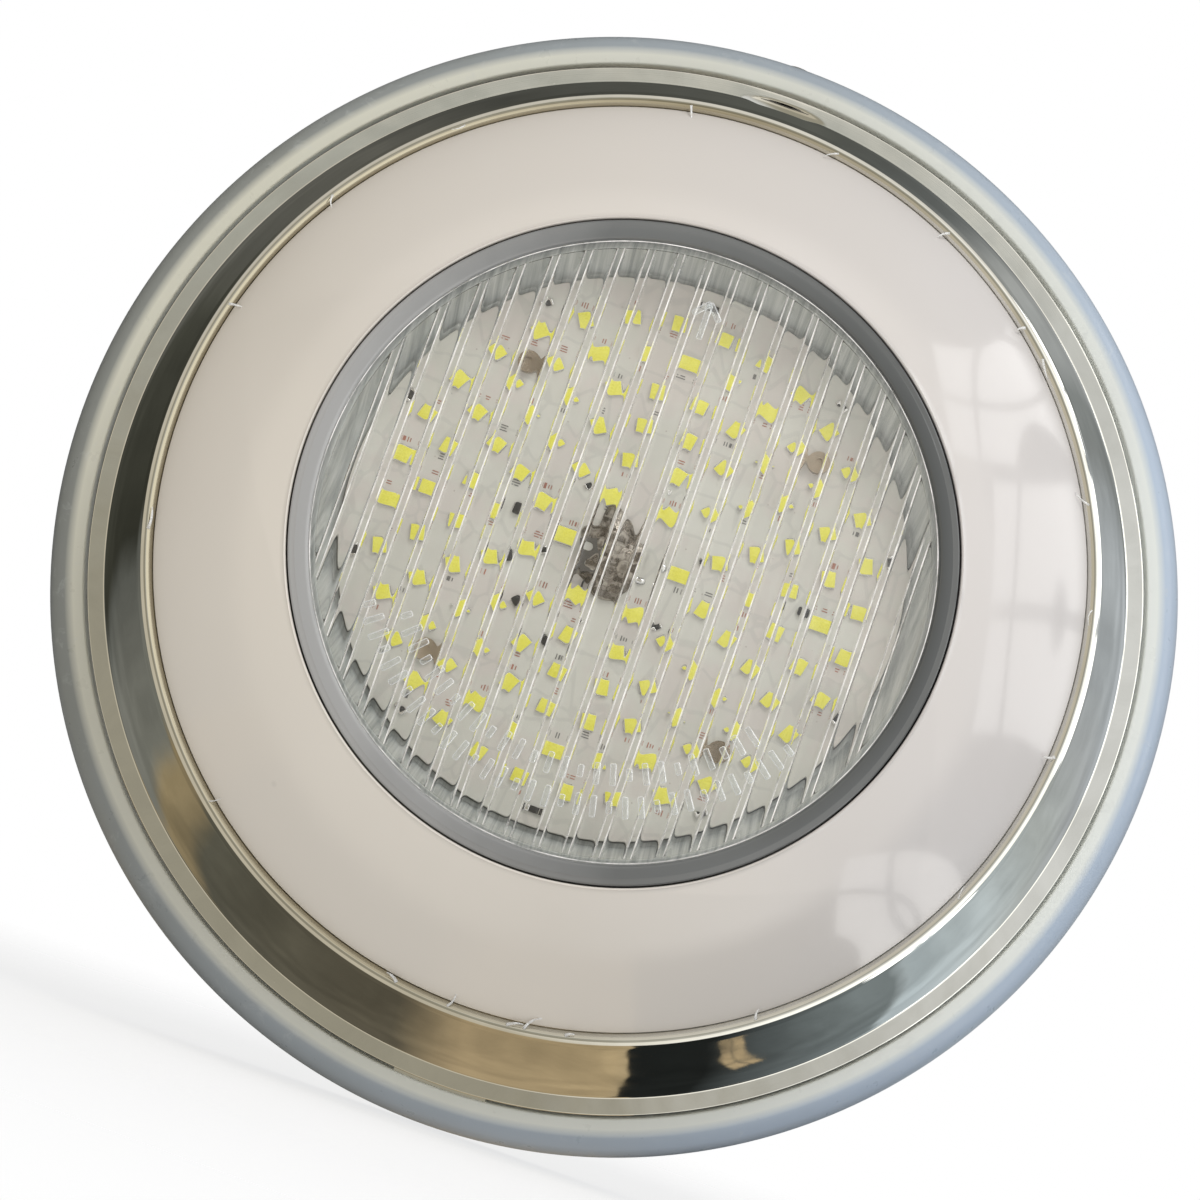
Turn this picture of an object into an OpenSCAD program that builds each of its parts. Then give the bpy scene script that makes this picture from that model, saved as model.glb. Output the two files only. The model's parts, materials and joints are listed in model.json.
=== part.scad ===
// Underwater pool light: a wall base with a round face that swings out on a hooked lower edge.
// Built lying down (x right, y up, z out of the wall) and stood up by upright(), so the wall is
// the plane y = 0, the light looks along -Y and its top is +Z. The origin is the centre of the
// wall face. Millimetres.

/* [Wall base] */
// Outside diameter of the wall base
base_d = 290; // [289:0.5:293]
// Distance from the wall to the front of the base's rim
rim_z = 22.6; // [22.5:0.05:22.8]
// Thickness of the back plate
plate_t = 3; // [2.5:0.1:4]
// Diameter of the recess that the face sits in
recess_d = 269.4; // [269.2:0.1:269.8]
// Diameter of the circle of wall screw holes
wall_pcd = 190; // [180:1:191]
// Number of wall screw holes
wall_holes = 3; // [3:1:6]
// Diameter of a wall screw hole
wall_hole_d = 6.5; // [5:0.5:6.5]
// Number of water holes in the back plate
vent_holes = 6; // [4:1:12]
// Diameter of a water hole
vent_d = 8; // [5:0.5:12]

/* [Face ring] */
// Outside diameter of the steel face ring
ring_d = 268; // [267.6:0.1:268]
// Distance from the wall to the flat edge of the face ring
flange_z = 21.8; // [21.7:0.05:21.9]
// Width of the flat edge
flange_w = 4.2; // [3.5:0.1:5]
// Height of the skirt behind the flat edge
skirt_h = 8; // [7:0.5:9]
// Diameter of the crest where the steel rolls over
crest_d = 230; // [229:0.5:231]
// Distance from the wall to the crest
crest_z = 59.2; // [58.8:0.1:59.6]
// Thickness of the steel sheet
sheet_t = 0.9; // [0.7:0.1:1]
// Width of the finger recess at the top of the ring
recess_w = 31; // [27:1:33]
// Depth of the finger recess into the sloping wall
recess_in = 2.5; // [2:0.5:4]
// Length of the finger dish pressed into the flat edge
dish_l = 23; // [18:1:24]
// Width of the finger dish
dish_w = 5; // [4:0.5:5]
// Depth of the finger dish
dish_depth = 1.2; // [0.8:0.1:1.4]

/* [Dome] */
// Distance from the wall to the inner edge of the dome
dome_z = 80; // [79.5:0.1:80.5]
// Height of the crown between the dome's edges
dome_crown = 2.6; // [1:0.1:3.5]
// Thickness of the dome
dome_t = 2.2; // [1.8:0.1:2.6]
// Number of screws that hold the dome in the face ring
dome_screw_count = 6; // [4:1:8]

/* [Lamp] */
// Outside diameter of the lamp's visible bezel
bezel_d = 158; // [157:0.5:158.4]
// Diameter of the opening in the bezel
bezel_open_d = 148; // [146:0.5:149]
// Diameter of the lamp's mounting flange
lamp_flange_d = 177.8; // [176:0.2:178]
// Distance from the wall to the back of the lamp
lamp_back_z = 27; // [26:0.5:29]

/* [Lens] */
// Height of the lens's crown above its edge
lens_crown = 5; // [3:0.5:7]
// Thickness of the lens
lens_t = 3.4; // [3:0.1:4]
// Distance between neighbouring flutes
flute_pitch = 7; // [6:0.5:9]
// Depth of the ribs between the flutes
flute_depth = 0.5; // [0.3:0.1:1.2]

/* [Light source] */
// Diameter of the LED board
board_d = 136; // [132:1:137]
// Number of LEDs on the innermost ring of LEDs
first_ring_count = 6; // [4:1:8]
// Radius of the innermost ring of LEDs
first_ring_r = 14.5; // [13:0.5:16]
// Distance between the rings of LEDs
led_ring_step = 8.7; // [7.5:0.1:8.8]
// Length of an LED
led_l = 3.9; // [2.8:0.1:4.2]
// Width of an LED
led_w = 3.5; // [2.4:0.1:4]

/* [Cable] */
// Diameter of the cable
cable_d = 8; // [6:0.5:8]
// Radius of the spare coil behind the lamp
coil_r = 104; // [102:0.5:105]
// Turn of the spare coil, in degrees
coil_sweep = 400; // [380:5:420]

/* [Hidden] */

$fn = 96;
eps = 0.01;      // overshoot of a cut past the face it opens
gap = 0.05;      // gap between pieces that touch

base_r = base_d / 2;
recess_r = recess_d / 2;
ring_r = ring_d / 2;
crest_r = crest_d / 2;
vent_r = 58;
grommet_wall = 3.5;

// Lock screw: it runs straight up (local y) through the top of the rim.
lock_z = 11;
lock_floor_r = 140.6;    // floor of the pocket for the screw's head
lock_insert_in_r = 135.2;
lock_insert_od = 6;
lock_bore_d = 4.1;
lock_screw_d = 3.96;
lock_head_d = 8.4;
lock_head_h = 3;
lock_washer_t = 0.8;
lock_tip_d = 3.8;

// Hinge: the hook turns on this line, at the bottom edge of the face ring.
hinge_y = -ring_r;
hinge_z = flange_z;
hook_r = 2.75;
hook_seat_r = 2.85;
hook_w = 24;
hook_skin = 1.5;     // plastic left in front of the hook's seat
hook_top = rim_z - hook_skin - gap - hinge_z;    // height of the hook's front face above the hinge line

// Sloping wall and rolled edge of the face ring.
roll_r = 2;
cone_foot_r = ring_r - flange_w - 0.4;
cone_foot_z = flange_z + 1.1;
bend_at = [cone_foot_r - 3.5, cone_foot_z + 14.1];    // where the wall's slope eases
inner_flange_z = 51;
inner_flange_in_r = 103;
roll_in_r = crest_r - roll_r;
dish_r = ring_r - 4.3;       // distance of the finger dish from the light's axis

// Dome.
dome_out_r = roll_in_r - gap;
dome_in_r = bezel_d / 2 + 0.4;
dome_seat_r = 97.6;
dome_seat_z = 66.5;
dome_seat_t = 2;
dome_boss_r = 107;
dome_screw_start = 30;
dome_boss_top = 59.6;

// Lamp stack, measured from the wall.
bezel_r = bezel_d / 2;
bezel_open_r = bezel_open_d / 2;
flange_r = lamp_flange_d / 2;
bezel_z = dome_z + 0.6;
bezel_flange_z = 62.3;
bezel_flange_t = 3;
shell_flange_t = 3;
bezel_bore_r = 76.6;
lens_r = 76.4;
lens_hollow_r = 72.4;
lens_rim_z = 75.8;
lens_rim_t = 2.6;
seal_t = 0.8;
shell_out_r = 66;
shell_wall = 3;
lamp_screws = 8;
lamp_screw_start = 22.5;
lamp_screw_r = 83.5;
clamp_screw_r = 93.3;
clamp_t = 1.5;
clamp_count = 3;
clamp_start = 90;

// Light source stack.
spreader_z = 59.4;
spreader_t = 4;
pad_t = 0.2;
board_t = 1.6;
pad_z = spreader_z + spreader_t;
board_z = pad_z + pad_t;
board_top = board_z + board_t;
post_count = 4;
post_start = 45;
post_r = 52;
led_h = 0.8;
cup_t = 1;
cup_foot_r = 69.6;
cup_top_r = 72.6;
led_counts = [for (i = [0:5]) first_ring_count + (i < 4 ? 6 * i : 18 + 4 * (i - 3))];
wire_hole_d = 9;

// Rectifier board behind the heat spreader.
rect_z = lamp_back_z + 11;
rect_r = 44;
rect_post_count = 3;
rect_post_start = 30;
rect_post_r = 38;

// Cable path and gland.
cable_r = cable_d / 2;
gland_y = -18;
gland_z = 42;
gland_face_x = -72;      // outer face of the gland's boss on the lamp
bend_r = 16;             // bend from the wall outlet into the coil
turn_r = 18;             // bend from the coil into the gland
outlet_straight = 8;
bend_steps = 6;
coil_steps = 48;
cable_sides = 12;
bend_turn = bend_r / coil_r * 180 / PI;
outlet_angle = 540 - coil_sweep - bend_turn;
coil_start_z = outlet_straight + bend_r;

function arc(cx, cz, r, a0, a1, n) = [for (i = [0:n]) let (a = a0 + (a1 - a0) * i / n)
    [cx + r * cos(a), cz + r * sin(a)]];

// Points on an arc through p and q that rises h above their chord.
function crown(p, q, h, n) = let (
    c = norm(q - p) / 2,
    r = (c * c + h * h) / (2 * h),
    mid = (p + q) / 2,
    along = (q - p) / (2 * c),
    up = [along[1], -along[0]],
    side = up[1] < 0 ? -up : up,
    half = asin(c / r))
    [for (i = [0:n]) let (a = -half + 2 * half * i / n)
        mid + along * r * sin(a) + side * (r * cos(a) - (r - h))];

function unit(v) = v / norm(v);
function left(v) = [-v[1], v[0]];

// A path moved sideways by t, mitred at its corners.
function shifted(path, t) = [for (i = [0:len(path) - 1]) let (
    a = unit(i == 0 ? path[1] - path[0] : path[i] - path[i - 1]),
    b = unit(i == len(path) - 1 ? path[i] - path[i - 1] : path[i + 1] - path[i]),
    n = unit(left(a) + left(b)))
    path[i] + n * t / (n * left(a))];

function reversed(path) = [for (i = [len(path) - 1:-1:0]) path[i]];

module upright() rotate([90, 0, 0]) children();
module around(count, r, start = 0) {
    for (i = [0:count - 1]) rotate(start + 360 * i / count) translate([r, 0, 0]) children();
}
// A cylinder from z0 to z1.
module rod(r, z0, z1) translate([0, 0, z0]) cylinder(r = r, h = z1 - z0);
// A ring from z0 to z1.
module ring(r_out, r_in, z0, z1) {
    rotate_extrude() translate([r_in, z0]) square([r_out - r_in, z1 - z0]);
}
// A cylinder that lies along x from x0 to x1.
module bar_x(r, x0, x1) translate([x0, 0, 0]) rotate([0, 90, 0]) cylinder(r = r, h = x1 - x0);
// A cylinder that runs outwards (local y) from y0 to y1.
module bar_y(r, y0, y1) translate([0, y0, 0]) rotate([-90, 0, 0]) cylinder(r = r, h = y1 - y0);
// A pan-head screw pointing outwards (+z) with the underside of its head at z.
module back_screw(r, l, head_r, head_h, z) {
    difference() {
        union() {
            rod(r, z - eps, z + l);
            rod(head_r, z - head_h, z);
        }
        translate([0, 0, z - head_h - eps]) cylinder(r = head_r * 0.5, h = head_h * 0.6, $fn = 6);
    }
}

// ---- Wall base -------------------------------------------------------------------------

module base_profile() {
    polygon(concat(
        [[0, 0], [base_r - 2, 0]],
        arc(base_r - 2, 2, 2, -90, 0, 3),
        [for (i = [0:8]) let (a = 90 * i / 8)
            [base_r - 7 + 7 * cos(a), 8 + (rim_z - 8) * sin(a)]],
        arc(recess_r + 0.6, rim_z - 0.6, 0.6, 90, 180, 3),
        [[recess_r, plate_t], [0, plate_t]]));
}

module wall_base() {
    color("whitesmoke") upright() difference() {
        rotate_extrude() base_profile();
        around(wall_holes, wall_pcd / 2, 90) rod(wall_hole_d / 2, -eps, plate_t + eps);
        around(vent_holes, vent_r) rod(vent_d / 2, -eps, plate_t + eps);
        rotate(outlet_angle) translate([coil_r, 0, 0]) rod(cable_r + grommet_wall, -eps, plate_t + eps);
        translate([0, 0, lock_z]) {
            bar_y(lock_tip_d / 2 + 0.4, recess_r - 2, lock_insert_in_r + eps);
            bar_y(lock_insert_od / 2, lock_insert_in_r, lock_floor_r);
            bar_y(lock_head_d / 2 + 0.4, lock_floor_r, base_r + 2);
        }
        intersection() {
            translate([0, hinge_y, hinge_z]) bar_x(hook_seat_r, -hook_w / 2 - 0.5, hook_w / 2 + 0.5);
            translate([-hook_w, hinge_y - 9, 0]) cube([2 * hook_w, 9, rim_z - hook_skin]);
        }
    }
}

module cable_grommet() {
    collar_r = cable_r + grommet_wall - 0.1;
    brim_r = collar_r + 2.1;
    color("dimgray") upright() rotate(outlet_angle) translate([coil_r, 0, 0]) rotate_extrude()
        polygon([[cable_r + gap, 0.3], [collar_r, 0.3], [collar_r, plate_t + gap],
                 [brim_r, plate_t + gap], [brim_r, plate_t + 1.2],
                 [brim_r - 0.9, plate_t + 2], [cable_r + gap, plate_t + 2]]);
}

// ---- Lock screw ------------------------------------------------------------------------

module lock_insert() {
    color("goldenrod") upright() translate([0, 0, lock_z]) difference() {
        bar_y(lock_insert_od / 2, lock_insert_in_r, lock_floor_r);
        bar_y(lock_bore_d / 2, lock_insert_in_r - 1, lock_floor_r + 1);
    }
}

module lock_washer() {
    color("dimgray") upright() translate([0, 0, lock_z]) difference() {
        bar_y(lock_head_d / 2 - 0.2, lock_floor_r + gap, lock_floor_r + lock_washer_t);
        bar_y(lock_screw_d / 2 + gap, lock_floor_r - 1, lock_floor_r + 2);
    }
}

module lock_screw() {
    head_y = lock_floor_r + lock_washer_t + gap;
    color("silver") upright() translate([0, 0, lock_z]) difference() {
        union() {
            bar_y(lock_screw_d / 2, lock_insert_in_r + 0.3, head_y + eps);
            bar_y(lock_head_d / 2, head_y, head_y + lock_head_h);
        }
        translate([0, head_y + lock_head_h - 1.8, 0]) rotate([-90, 0, 0])
            cylinder(r = 2, h = 2, $fn = 6);
    }
}

module lock_tip() {
    color("ivory") upright() translate([0, 0, lock_z])
        bar_y(lock_tip_d / 2, ring_r + 0.12, lock_insert_in_r + 0.3 - gap);
}

// ---- Face ring and its hook ------------------------------------------------------------

// Visible side of the steel, from the back of the skirt to the inner flange.
function ring_path() = let (
    cone = unit([crest_r + roll_r - bend_at[0], crest_z - roll_r - bend_at[1]]),
    lean = atan2(-cone[0], cone[1]))
    concat([[ring_r, flange_z - skirt_h]],
           arc(ring_r - 1, flange_z - 1, 1, 0, 90, 3),
           [[cone_foot_r + 0.9, flange_z], [cone_foot_r + 0.25, flange_z + 0.35]],
           [[cone_foot_r, cone_foot_z], bend_at],
           arc(crest_r, crest_z - roll_r, roll_r, lean, 180, 8),
           [[roll_in_r, inner_flange_z], [inner_flange_in_r, inner_flange_z]]);

module sheet(path, t) polygon(concat(path, reversed(shifted(path, t))));

// Outline of the finger recess: flat across the middle, easing out to the flange at both ends.
function recess_edge(grow, n) = [for (i = [0:n]) let (
    u = -1 + 2 * i / n,
    ease = 0.5 + 0.5 * cos(180 * max(0, abs(u) - 0.35) / 0.65))
    [u * recess_w / 2, cone_foot_r + 1 - grow - (recess_in + 1) * ease]];

module recess_outline(grow) {
    outer = cone_foot_r + 3;
    polygon(concat(recess_edge(grow, 20), [[recess_w / 2, outer], [-recess_w / 2, outer]]));
}

// Boat-shaped finger dish, or the sheet under it when grown, cut off level at height top.
module finger_dish(grow, top) {
    tube_r = (pow(dish_w / 2, 2) + pow(dish_depth, 2)) / (2 * dish_depth);
    bow_r = (pow(dish_l / 2, 2) + pow(dish_depth, 2)) / (2 * dish_depth);
    intersection() {
        translate([0, dish_r, flange_z - dish_depth + bow_r]) rotate([90, 0, 0])
            rotate_extrude() translate([bow_r - tube_r, 0]) circle(r = tube_r + grow);
        translate([-dish_l, dish_r - dish_w, flange_z - 5]) cube([2 * dish_l, 2 * dish_w, top - flange_z + 5]);
    }
}

// Everything behind the visible side of the ring's sloping wall.
module ring_inside() {
    rotate_extrude() polygon([[0, flange_z - sheet_t], [cone_foot_r, flange_z - sheet_t],
        [cone_foot_r, cone_foot_z], bend_at, [crest_r + roll_r, crest_z - roll_r], [0, crest_z - roll_r]]);
}

module face_ring() {
    color("silver") upright() difference() {
        union() {
            difference() {
                rotate_extrude() sheet(ring_path(), sheet_t);
                translate([0, 0, flange_z]) linear_extrude(crest_z) recess_outline(0);
                around(dome_screw_count, dome_boss_r, dome_screw_start)
                    rod(1.8, inner_flange_z - 2, inner_flange_z + 2);
            }
            intersection() {
                ring_inside();
                translate([0, 0, flange_z - sheet_t]) difference() {
                    linear_extrude(crest_z) recess_outline(sheet_t);
                    translate([0, 0, sheet_t]) linear_extrude(crest_z) recess_outline(0);
                }
            }
            finger_dish(sheet_t, flange_z - 0.2);
        }
        finger_dish(0, flange_z + eps);
    }
}

module hinge_hook() {
    color("silver") upright() difference() {
        intersection() {
            translate([0, hinge_y, hinge_z]) bar_x(hook_r, -hook_w / 2, hook_w / 2);
            translate([-hook_w, hinge_y - 2 * hook_r, hinge_z - 2 * hook_r])
                cube([2 * hook_w, 2 * hook_r + 0.6, 2 * hook_r + hook_top]);
        }
        rod(ring_r + 0.02, 0, rim_z + 5, $fn = 720);
    }
}

// ---- Dome ------------------------------------------------------------------------------

function dome_curve(n) = crown([dome_out_r, crest_z - 1.1], [dome_in_r, dome_z], dome_crown, n);

module dome_cover() {
    top = dome_curve(16);
    under = shifted(top, dome_t);
    color("linen") upright() difference() {
        union() {
            rotate_extrude() polygon(concat(
                [[dome_out_r, inner_flange_z + gap]], top,
                [[dome_in_r, dome_seat_z], [dome_seat_r, dome_seat_z],
                 [dome_seat_r, dome_seat_z + dome_seat_t], [dome_in_r + dome_t, dome_seat_z + dome_seat_t]],
                reversed([for (p = under)
                    if (p[0] > dome_in_r + dome_t && p[0] < dome_out_r - dome_t) p]),
                [[dome_out_r - dome_t, inner_flange_z + gap]]));
            around(dome_screw_count, dome_boss_r, dome_screw_start)
                rod(3.2, inner_flange_z + gap, dome_boss_top);
            around(clamp_count, clamp_screw_r, clamp_start) rod(4, shell_back_z(), dome_seat_z + 1);
        }
        around(dome_screw_count, dome_boss_r, dome_screw_start)
            rod(1.42, inner_flange_z - 1, dome_boss_top - 0.4);
        around(clamp_count, clamp_screw_r, clamp_start) rod(1.82, shell_back_z() - 1, 67.5);
    }
}

module dome_screws() {
    color("gainsboro") upright() around(dome_screw_count, dome_boss_r, dome_screw_start)
        back_screw(1.4, 8, 2.8, 2, inner_flange_z - sheet_t - gap);
}

// ---- Lamp: bezel, lens, shell ----------------------------------------------------------

function shell_back_z() = bezel_flange_z - shell_flange_t;

module bezel_ring() {
    top = bezel_flange_z + bezel_flange_t;
    color("gray") upright() difference() {
        rotate_extrude() polygon(concat(
            [[bezel_bore_r, bezel_flange_z + gap], [flange_r, bezel_flange_z + gap], [flange_r, top],
             [bezel_r, top]],
            arc(bezel_r - 1, bezel_z - 1, 1, 0, 90, 4),
            arc(bezel_open_r + 0.8, bezel_z - 0.8, 0.8, 90, 180, 4),
            [[bezel_open_r, lens_rim_z + lens_rim_t + seal_t],
             [bezel_bore_r, lens_rim_z + lens_rim_t + seal_t]]));
        around(lamp_screws, lamp_screw_r, lamp_screw_start) rod(1.22, bezel_flange_z - 1, top - 0.6);
    }
}

lens_edge_r = bezel_open_r - 0.1;
lens_edge_z = dome_z;
lens_sphere_r = (pow(lens_edge_r, 2) + pow(lens_crown, 2)) / (2 * lens_crown);
lens_sphere_z = lens_edge_z + lens_crown - lens_sphere_r;

module lens_ball(inset) translate([0, 0, lens_sphere_z]) sphere(r = lens_sphere_r - inset, $fn = 200);

module lens() {
    flutes = floor(lens_hollow_r / flute_pitch);
    rib_w = 0.12 * flute_pitch;
    color("lightcyan", 0.4) upright() {
        difference() {
            union() {
                rod(lens_r, lens_rim_z, lens_rim_z + lens_rim_t);
                intersection() {
                    rod(lens_edge_r, lens_rim_z, lens_edge_z + lens_crown + 1);
                    lens_ball(0);
                }
            }
            intersection() {
                rod(lens_hollow_r, lens_rim_z - 1, lens_edge_z + lens_crown);
                lens_ball(lens_t);
            }
        }
        for (i = [-flutes:flutes]) intersection() {
            x = i * flute_pitch;
            half = sqrt(pow(lens_hollow_r, 2) - pow(x, 2));
            translate([x - rib_w / 2, -half, lens_rim_z]) cube([rib_w, 2 * half, 12]);
            difference() {
                lens_ball(lens_t - 0.2);
                lens_ball(lens_t + flute_depth);
            }
        }
    }
}

module lens_seal() {
    z = lens_rim_z + lens_rim_t;
    color("dimgray") upright() ring(lens_r - 0.1, bezel_open_r + 0.4, z + 0.02, z + seal_t - 0.02);
}

module lamp_gasket() {
    z = bezel_flange_z + bezel_flange_t;
    color("dimgray") upright() ring(flange_r - 0.5, dome_in_r + 2, z + 0.02, dome_seat_z - 0.02);
}

module lamp_shell() {
    color("darkgray") upright() difference() {
        union() {
            rotate_extrude() polygon([
                [0, lamp_back_z], [shell_out_r - 8, lamp_back_z], [shell_out_r - 4, lamp_back_z + 4],
                [shell_out_r, shell_back_z() - 3], [shell_out_r + 3, shell_back_z()],
                [flange_r, shell_back_z()], [flange_r, bezel_flange_z],
                [shell_out_r - shell_wall, bezel_flange_z],
                [shell_out_r - shell_wall, shell_back_z() - 3],
                [shell_out_r - shell_wall - 4, lamp_back_z + shell_wall + 3],
                [shell_out_r - shell_wall - 7, lamp_back_z + shell_wall], [0, lamp_back_z + shell_wall]]);
            around(post_count, post_r, post_start) rod(4, lamp_back_z + 1, spreader_z - gap);
            around(rect_post_count, rect_post_r, rect_post_start) rod(3, lamp_back_z + 1, rect_z - gap);
            translate([0, gland_y, gland_z]) bar_x(11, gland_face_x, -58);
        }
        around(post_count, post_r, post_start) rod(1.42, spreader_z - 9, spreader_z + 1);
        around(rect_post_count, rect_post_r, rect_post_start) rod(1.22, rect_z - 7, rect_z + 1);
        around(lamp_screws, lamp_screw_r, lamp_screw_start) rod(1.5, shell_back_z() - 1, bezel_flange_z + 1);
        translate([0, gland_y, gland_z]) bar_x(8.1, gland_face_x - 1, -50);
        translate([-58, gland_y - 14, gland_z - 13]) cube([9, 28, 26]);
    }
}

module lamp_shell_screws() {
    color("silver") upright() around(lamp_screws, lamp_screw_r, lamp_screw_start)
        back_screw(1.2, 5, 2.4, 1.8, shell_back_z() - gap);
}

module lamp_clamps() {
    color("silver") upright() around(clamp_count, clamp_screw_r, clamp_start) difference() {
        translate([-9.5, -6, shell_back_z() - gap - clamp_t]) cube([14, 12, clamp_t]);
        rod(2.1, shell_back_z() - 3, shell_back_z() + 1);
    }
}

module lamp_clamp_screws() {
    color("gainsboro") upright() around(clamp_count, clamp_screw_r, clamp_start)
        back_screw(1.8, 8.5, 3.6, 2.4, shell_back_z() - clamp_t - 2 * gap);
}

// ---- Light source ----------------------------------------------------------------------

// A thin cone between two flat flanges.
module reflector_cup() {
    foot = bezel_flange_z + gap;
    top = lens_rim_z - gap;
    flange = lens_r - 0.1;
    color("slategray") upright() rotate_extrude() polygon([
        [cup_foot_r, foot], [flange, foot], [flange, foot + cup_t], [cup_foot_r + cup_t, foot + cup_t],
        [cup_top_r + cup_t, top - cup_t], [flange, top - cup_t], [flange, top],
        [cup_top_r, top], [cup_foot_r, foot + 1.5 * cup_t]]);
}

module led_board() {
    color("gainsboro") upright() difference() {
        rod(board_d / 2, board_z, board_top);
        around(post_count, post_r, post_start) rod(1.6, board_z - 1, board_top + 1);
        rod(wire_hole_d / 2, board_z - 1, board_top + 1);
    }
}

// Stands a part at (r, angle) on the LED board's face, turned by spin.
module on_board(r, angle, spin = 0) {
    rotate(angle) translate([r, 0, board_top + 0.02]) rotate(spin) children();
}
module chip(l, w, h) translate([-l / 2, -w / 2, 0]) cube([l, w, h]);

module leds() {
    color("khaki") upright() for (i = [0:len(led_counts) - 1]) for (k = [0:led_counts[i] - 1])
        on_board(first_ring_r + i * led_ring_step, 360 * (k + 0.5 * (i % 2)) / led_counts[i], 90 * (k % 2))
            chip(led_l, led_w, led_h);
}

module resistors() {
    color("dimgray") upright() {
        for (k = [0:9]) on_board(64, 18 + 36 * k, 90) chip(3.2, 1.6, 0.6);
        for (k = [0:5]) on_board(18.9, 15 + 60 * k, 90) chip(2, 1.2, 0.5);
    }
}

module driver_chips() {
    color("black") upright() {
        for (k = [0:3]) on_board(27.5, 175 + 24 * k, 90) chip(3, 2.6, 1.1);
        on_board(45, 2, 0) chip(3, 2.6, 1.1);
    }
}

module terminal_block() {
    color("dimgray") upright() on_board(8.2, 200, 90) difference() {
        chip(8, 4, 3.2);
        for (x = [-2, 2]) translate([x, 0, 1]) cylinder(r = 1.05, h = 3);
    }
}

module terminal_pins() {
    color("silver") upright() on_board(8.2, 200, 90)
        for (x = [-2, 2]) translate([x, 0, 1 + gap]) cylinder(r = 1, h = 1.8);
}

module board_screws() {
    head_z = board_top + gap;
    color("silver") upright() around(post_count, post_r, post_start) difference() {
        union() {
            rod(1.4, spreader_z - 8, head_z + eps);
            rod(2.7, head_z, head_z + 1.7);
        }
        rod(1.1, head_z + 0.7, head_z + 3, $fn = 6);
    }
}

module thermal_pad() {
    color("lightblue") upright() difference() {
        rod(60, pad_z + 0.02, board_z - 0.02);
        around(post_count, post_r, post_start) rod(1.6, pad_z - 1, board_top + 1);
        rod(wire_hole_d / 2, pad_z - 1, board_top + 1);
    }
}

module heat_spreader() {
    color("lightgray") upright() difference() {
        rod(61, spreader_z, pad_z);
        around(post_count, post_r, post_start) rod(1.6, spreader_z - 1, pad_z + 1);
        rod(wire_hole_d / 2, spreader_z - 1, pad_z + 1);
        for (k = [0:11]) rotate(30 * k) translate([14, -1.2, spreader_z - 1]) cube([30, 2.4, 3]);
    }
}

module supply_wires() {
    color("firebrick") upright() for (y = [-2, 2]) translate([0, y, 0])
        rod(0.9, rect_z + board_t + gap, board_top + 2.4);
}

module rectifier_board() {
    color("darkgreen") upright() difference() {
        rod(rect_r, rect_z, rect_z + board_t);
        around(rect_post_count, rect_post_r, rect_post_start) rod(1.5, rect_z - 1, rect_z + 3);
    }
}

module rectifier_board_screws() {
    z = rect_z + board_t + gap;
    color("silver") upright() around(rect_post_count, rect_post_r, rect_post_start) {
        rod(1.2, rect_z - 6, z + eps);
        rod(2.4, z, z + 1.5);
    }
}

module smoothing_capacitors() {
    z = rect_z + board_t + gap;
    color("black") upright() for (a = [60, 100]) rotate(a) translate([24, 0, 0]) rod(5, z, z + 13);
}

module choke() {
    z = rect_z + board_t + gap;
    color("orange") upright() translate([-4, -24, z + 3.6])
        rotate_extrude() translate([7, 0]) circle(r = 3.5);
}

module bridge_rectifier() {
    color("black") upright() translate([16, -8, rect_z + board_t + gap]) cube([15, 6, 10]);
}

// ---- Cable and its gland ---------------------------------------------------------------

module gland_at() translate([0, gland_y, gland_z]) children();

module gland_body() {
    x = gland_face_x;
    color("dimgray") upright() gland_at() difference() {
        union() {
            bar_x(8, x - gap - eps, -54);
            translate([x - gap - 4, 0, 0]) rotate([0, 90, 0]) cylinder(r = 11, h = 4, $fn = 6);
            bar_x(7.4, x - 10, x - 4);
        }
        bar_x(cable_r + gap, x - 11, -50);
        bar_x(5.9, x - 11, x - 5);
    }
}

module gland_locknut() {
    color("dimgray") upright() gland_at() difference() {
        translate([-58 + gap, 0, 0]) rotate([0, 90, 0]) cylinder(r = 11, h = 3, $fn = 6);
        bar_x(8.05, -60, -50);
    }
}

module gland_seal() {
    x = gland_face_x;
    color("black") upright() gland_at() difference() {
        bar_x(5.85, x - 10, x - 5 - gap);
        bar_x(cable_r + gap, x - 11, x);
    }
}

module gland_cap() {
    x = gland_face_x;
    color("dimgray") upright() gland_at() difference() {
        union() {
            translate([x - 10, 0, 0]) rotate([0, 90, 0]) cylinder(r = 10.5, h = 5.9 - gap, $fn = 6);
            bar_x(8.8, x - 12.5, x - 10);
        }
        bar_x(7.45, x - 10 - gap, x);
        bar_x(cable_r + 0.1, x - 14, x);
    }
}

// Centre line of the cable, from the wall to just inside the gland's locknut.
function cable_path() = concat(
    [for (z = [0, outlet_straight / 2]) [coil_r * cos(outlet_angle), coil_r * sin(outlet_angle), z]],
    [for (i = [0:bend_steps - 1]) let (b = 90 * i / bend_steps,
        a = outlet_angle + bend_turn * (1 - cos(b)))
        [coil_r * cos(a), coil_r * sin(a), outlet_straight + bend_r * sin(b)]],
    [for (i = [0:coil_steps]) let (t = i / coil_steps, a = outlet_angle + bend_turn + coil_sweep * t)
        [coil_r * cos(a), coil_r * sin(a), coil_start_z + (gland_z - coil_start_z) * t]],
    [for (i = [1:bend_steps]) let (g = 90 * i / bend_steps)
        [turn_r - coil_r - turn_r * cos(g), -turn_r * sin(g), gland_z]],
    [for (x = [-80, -56]) [x, gland_y, gland_z]]);

function crossed(a, b) = unit(cross(a, b));

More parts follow.
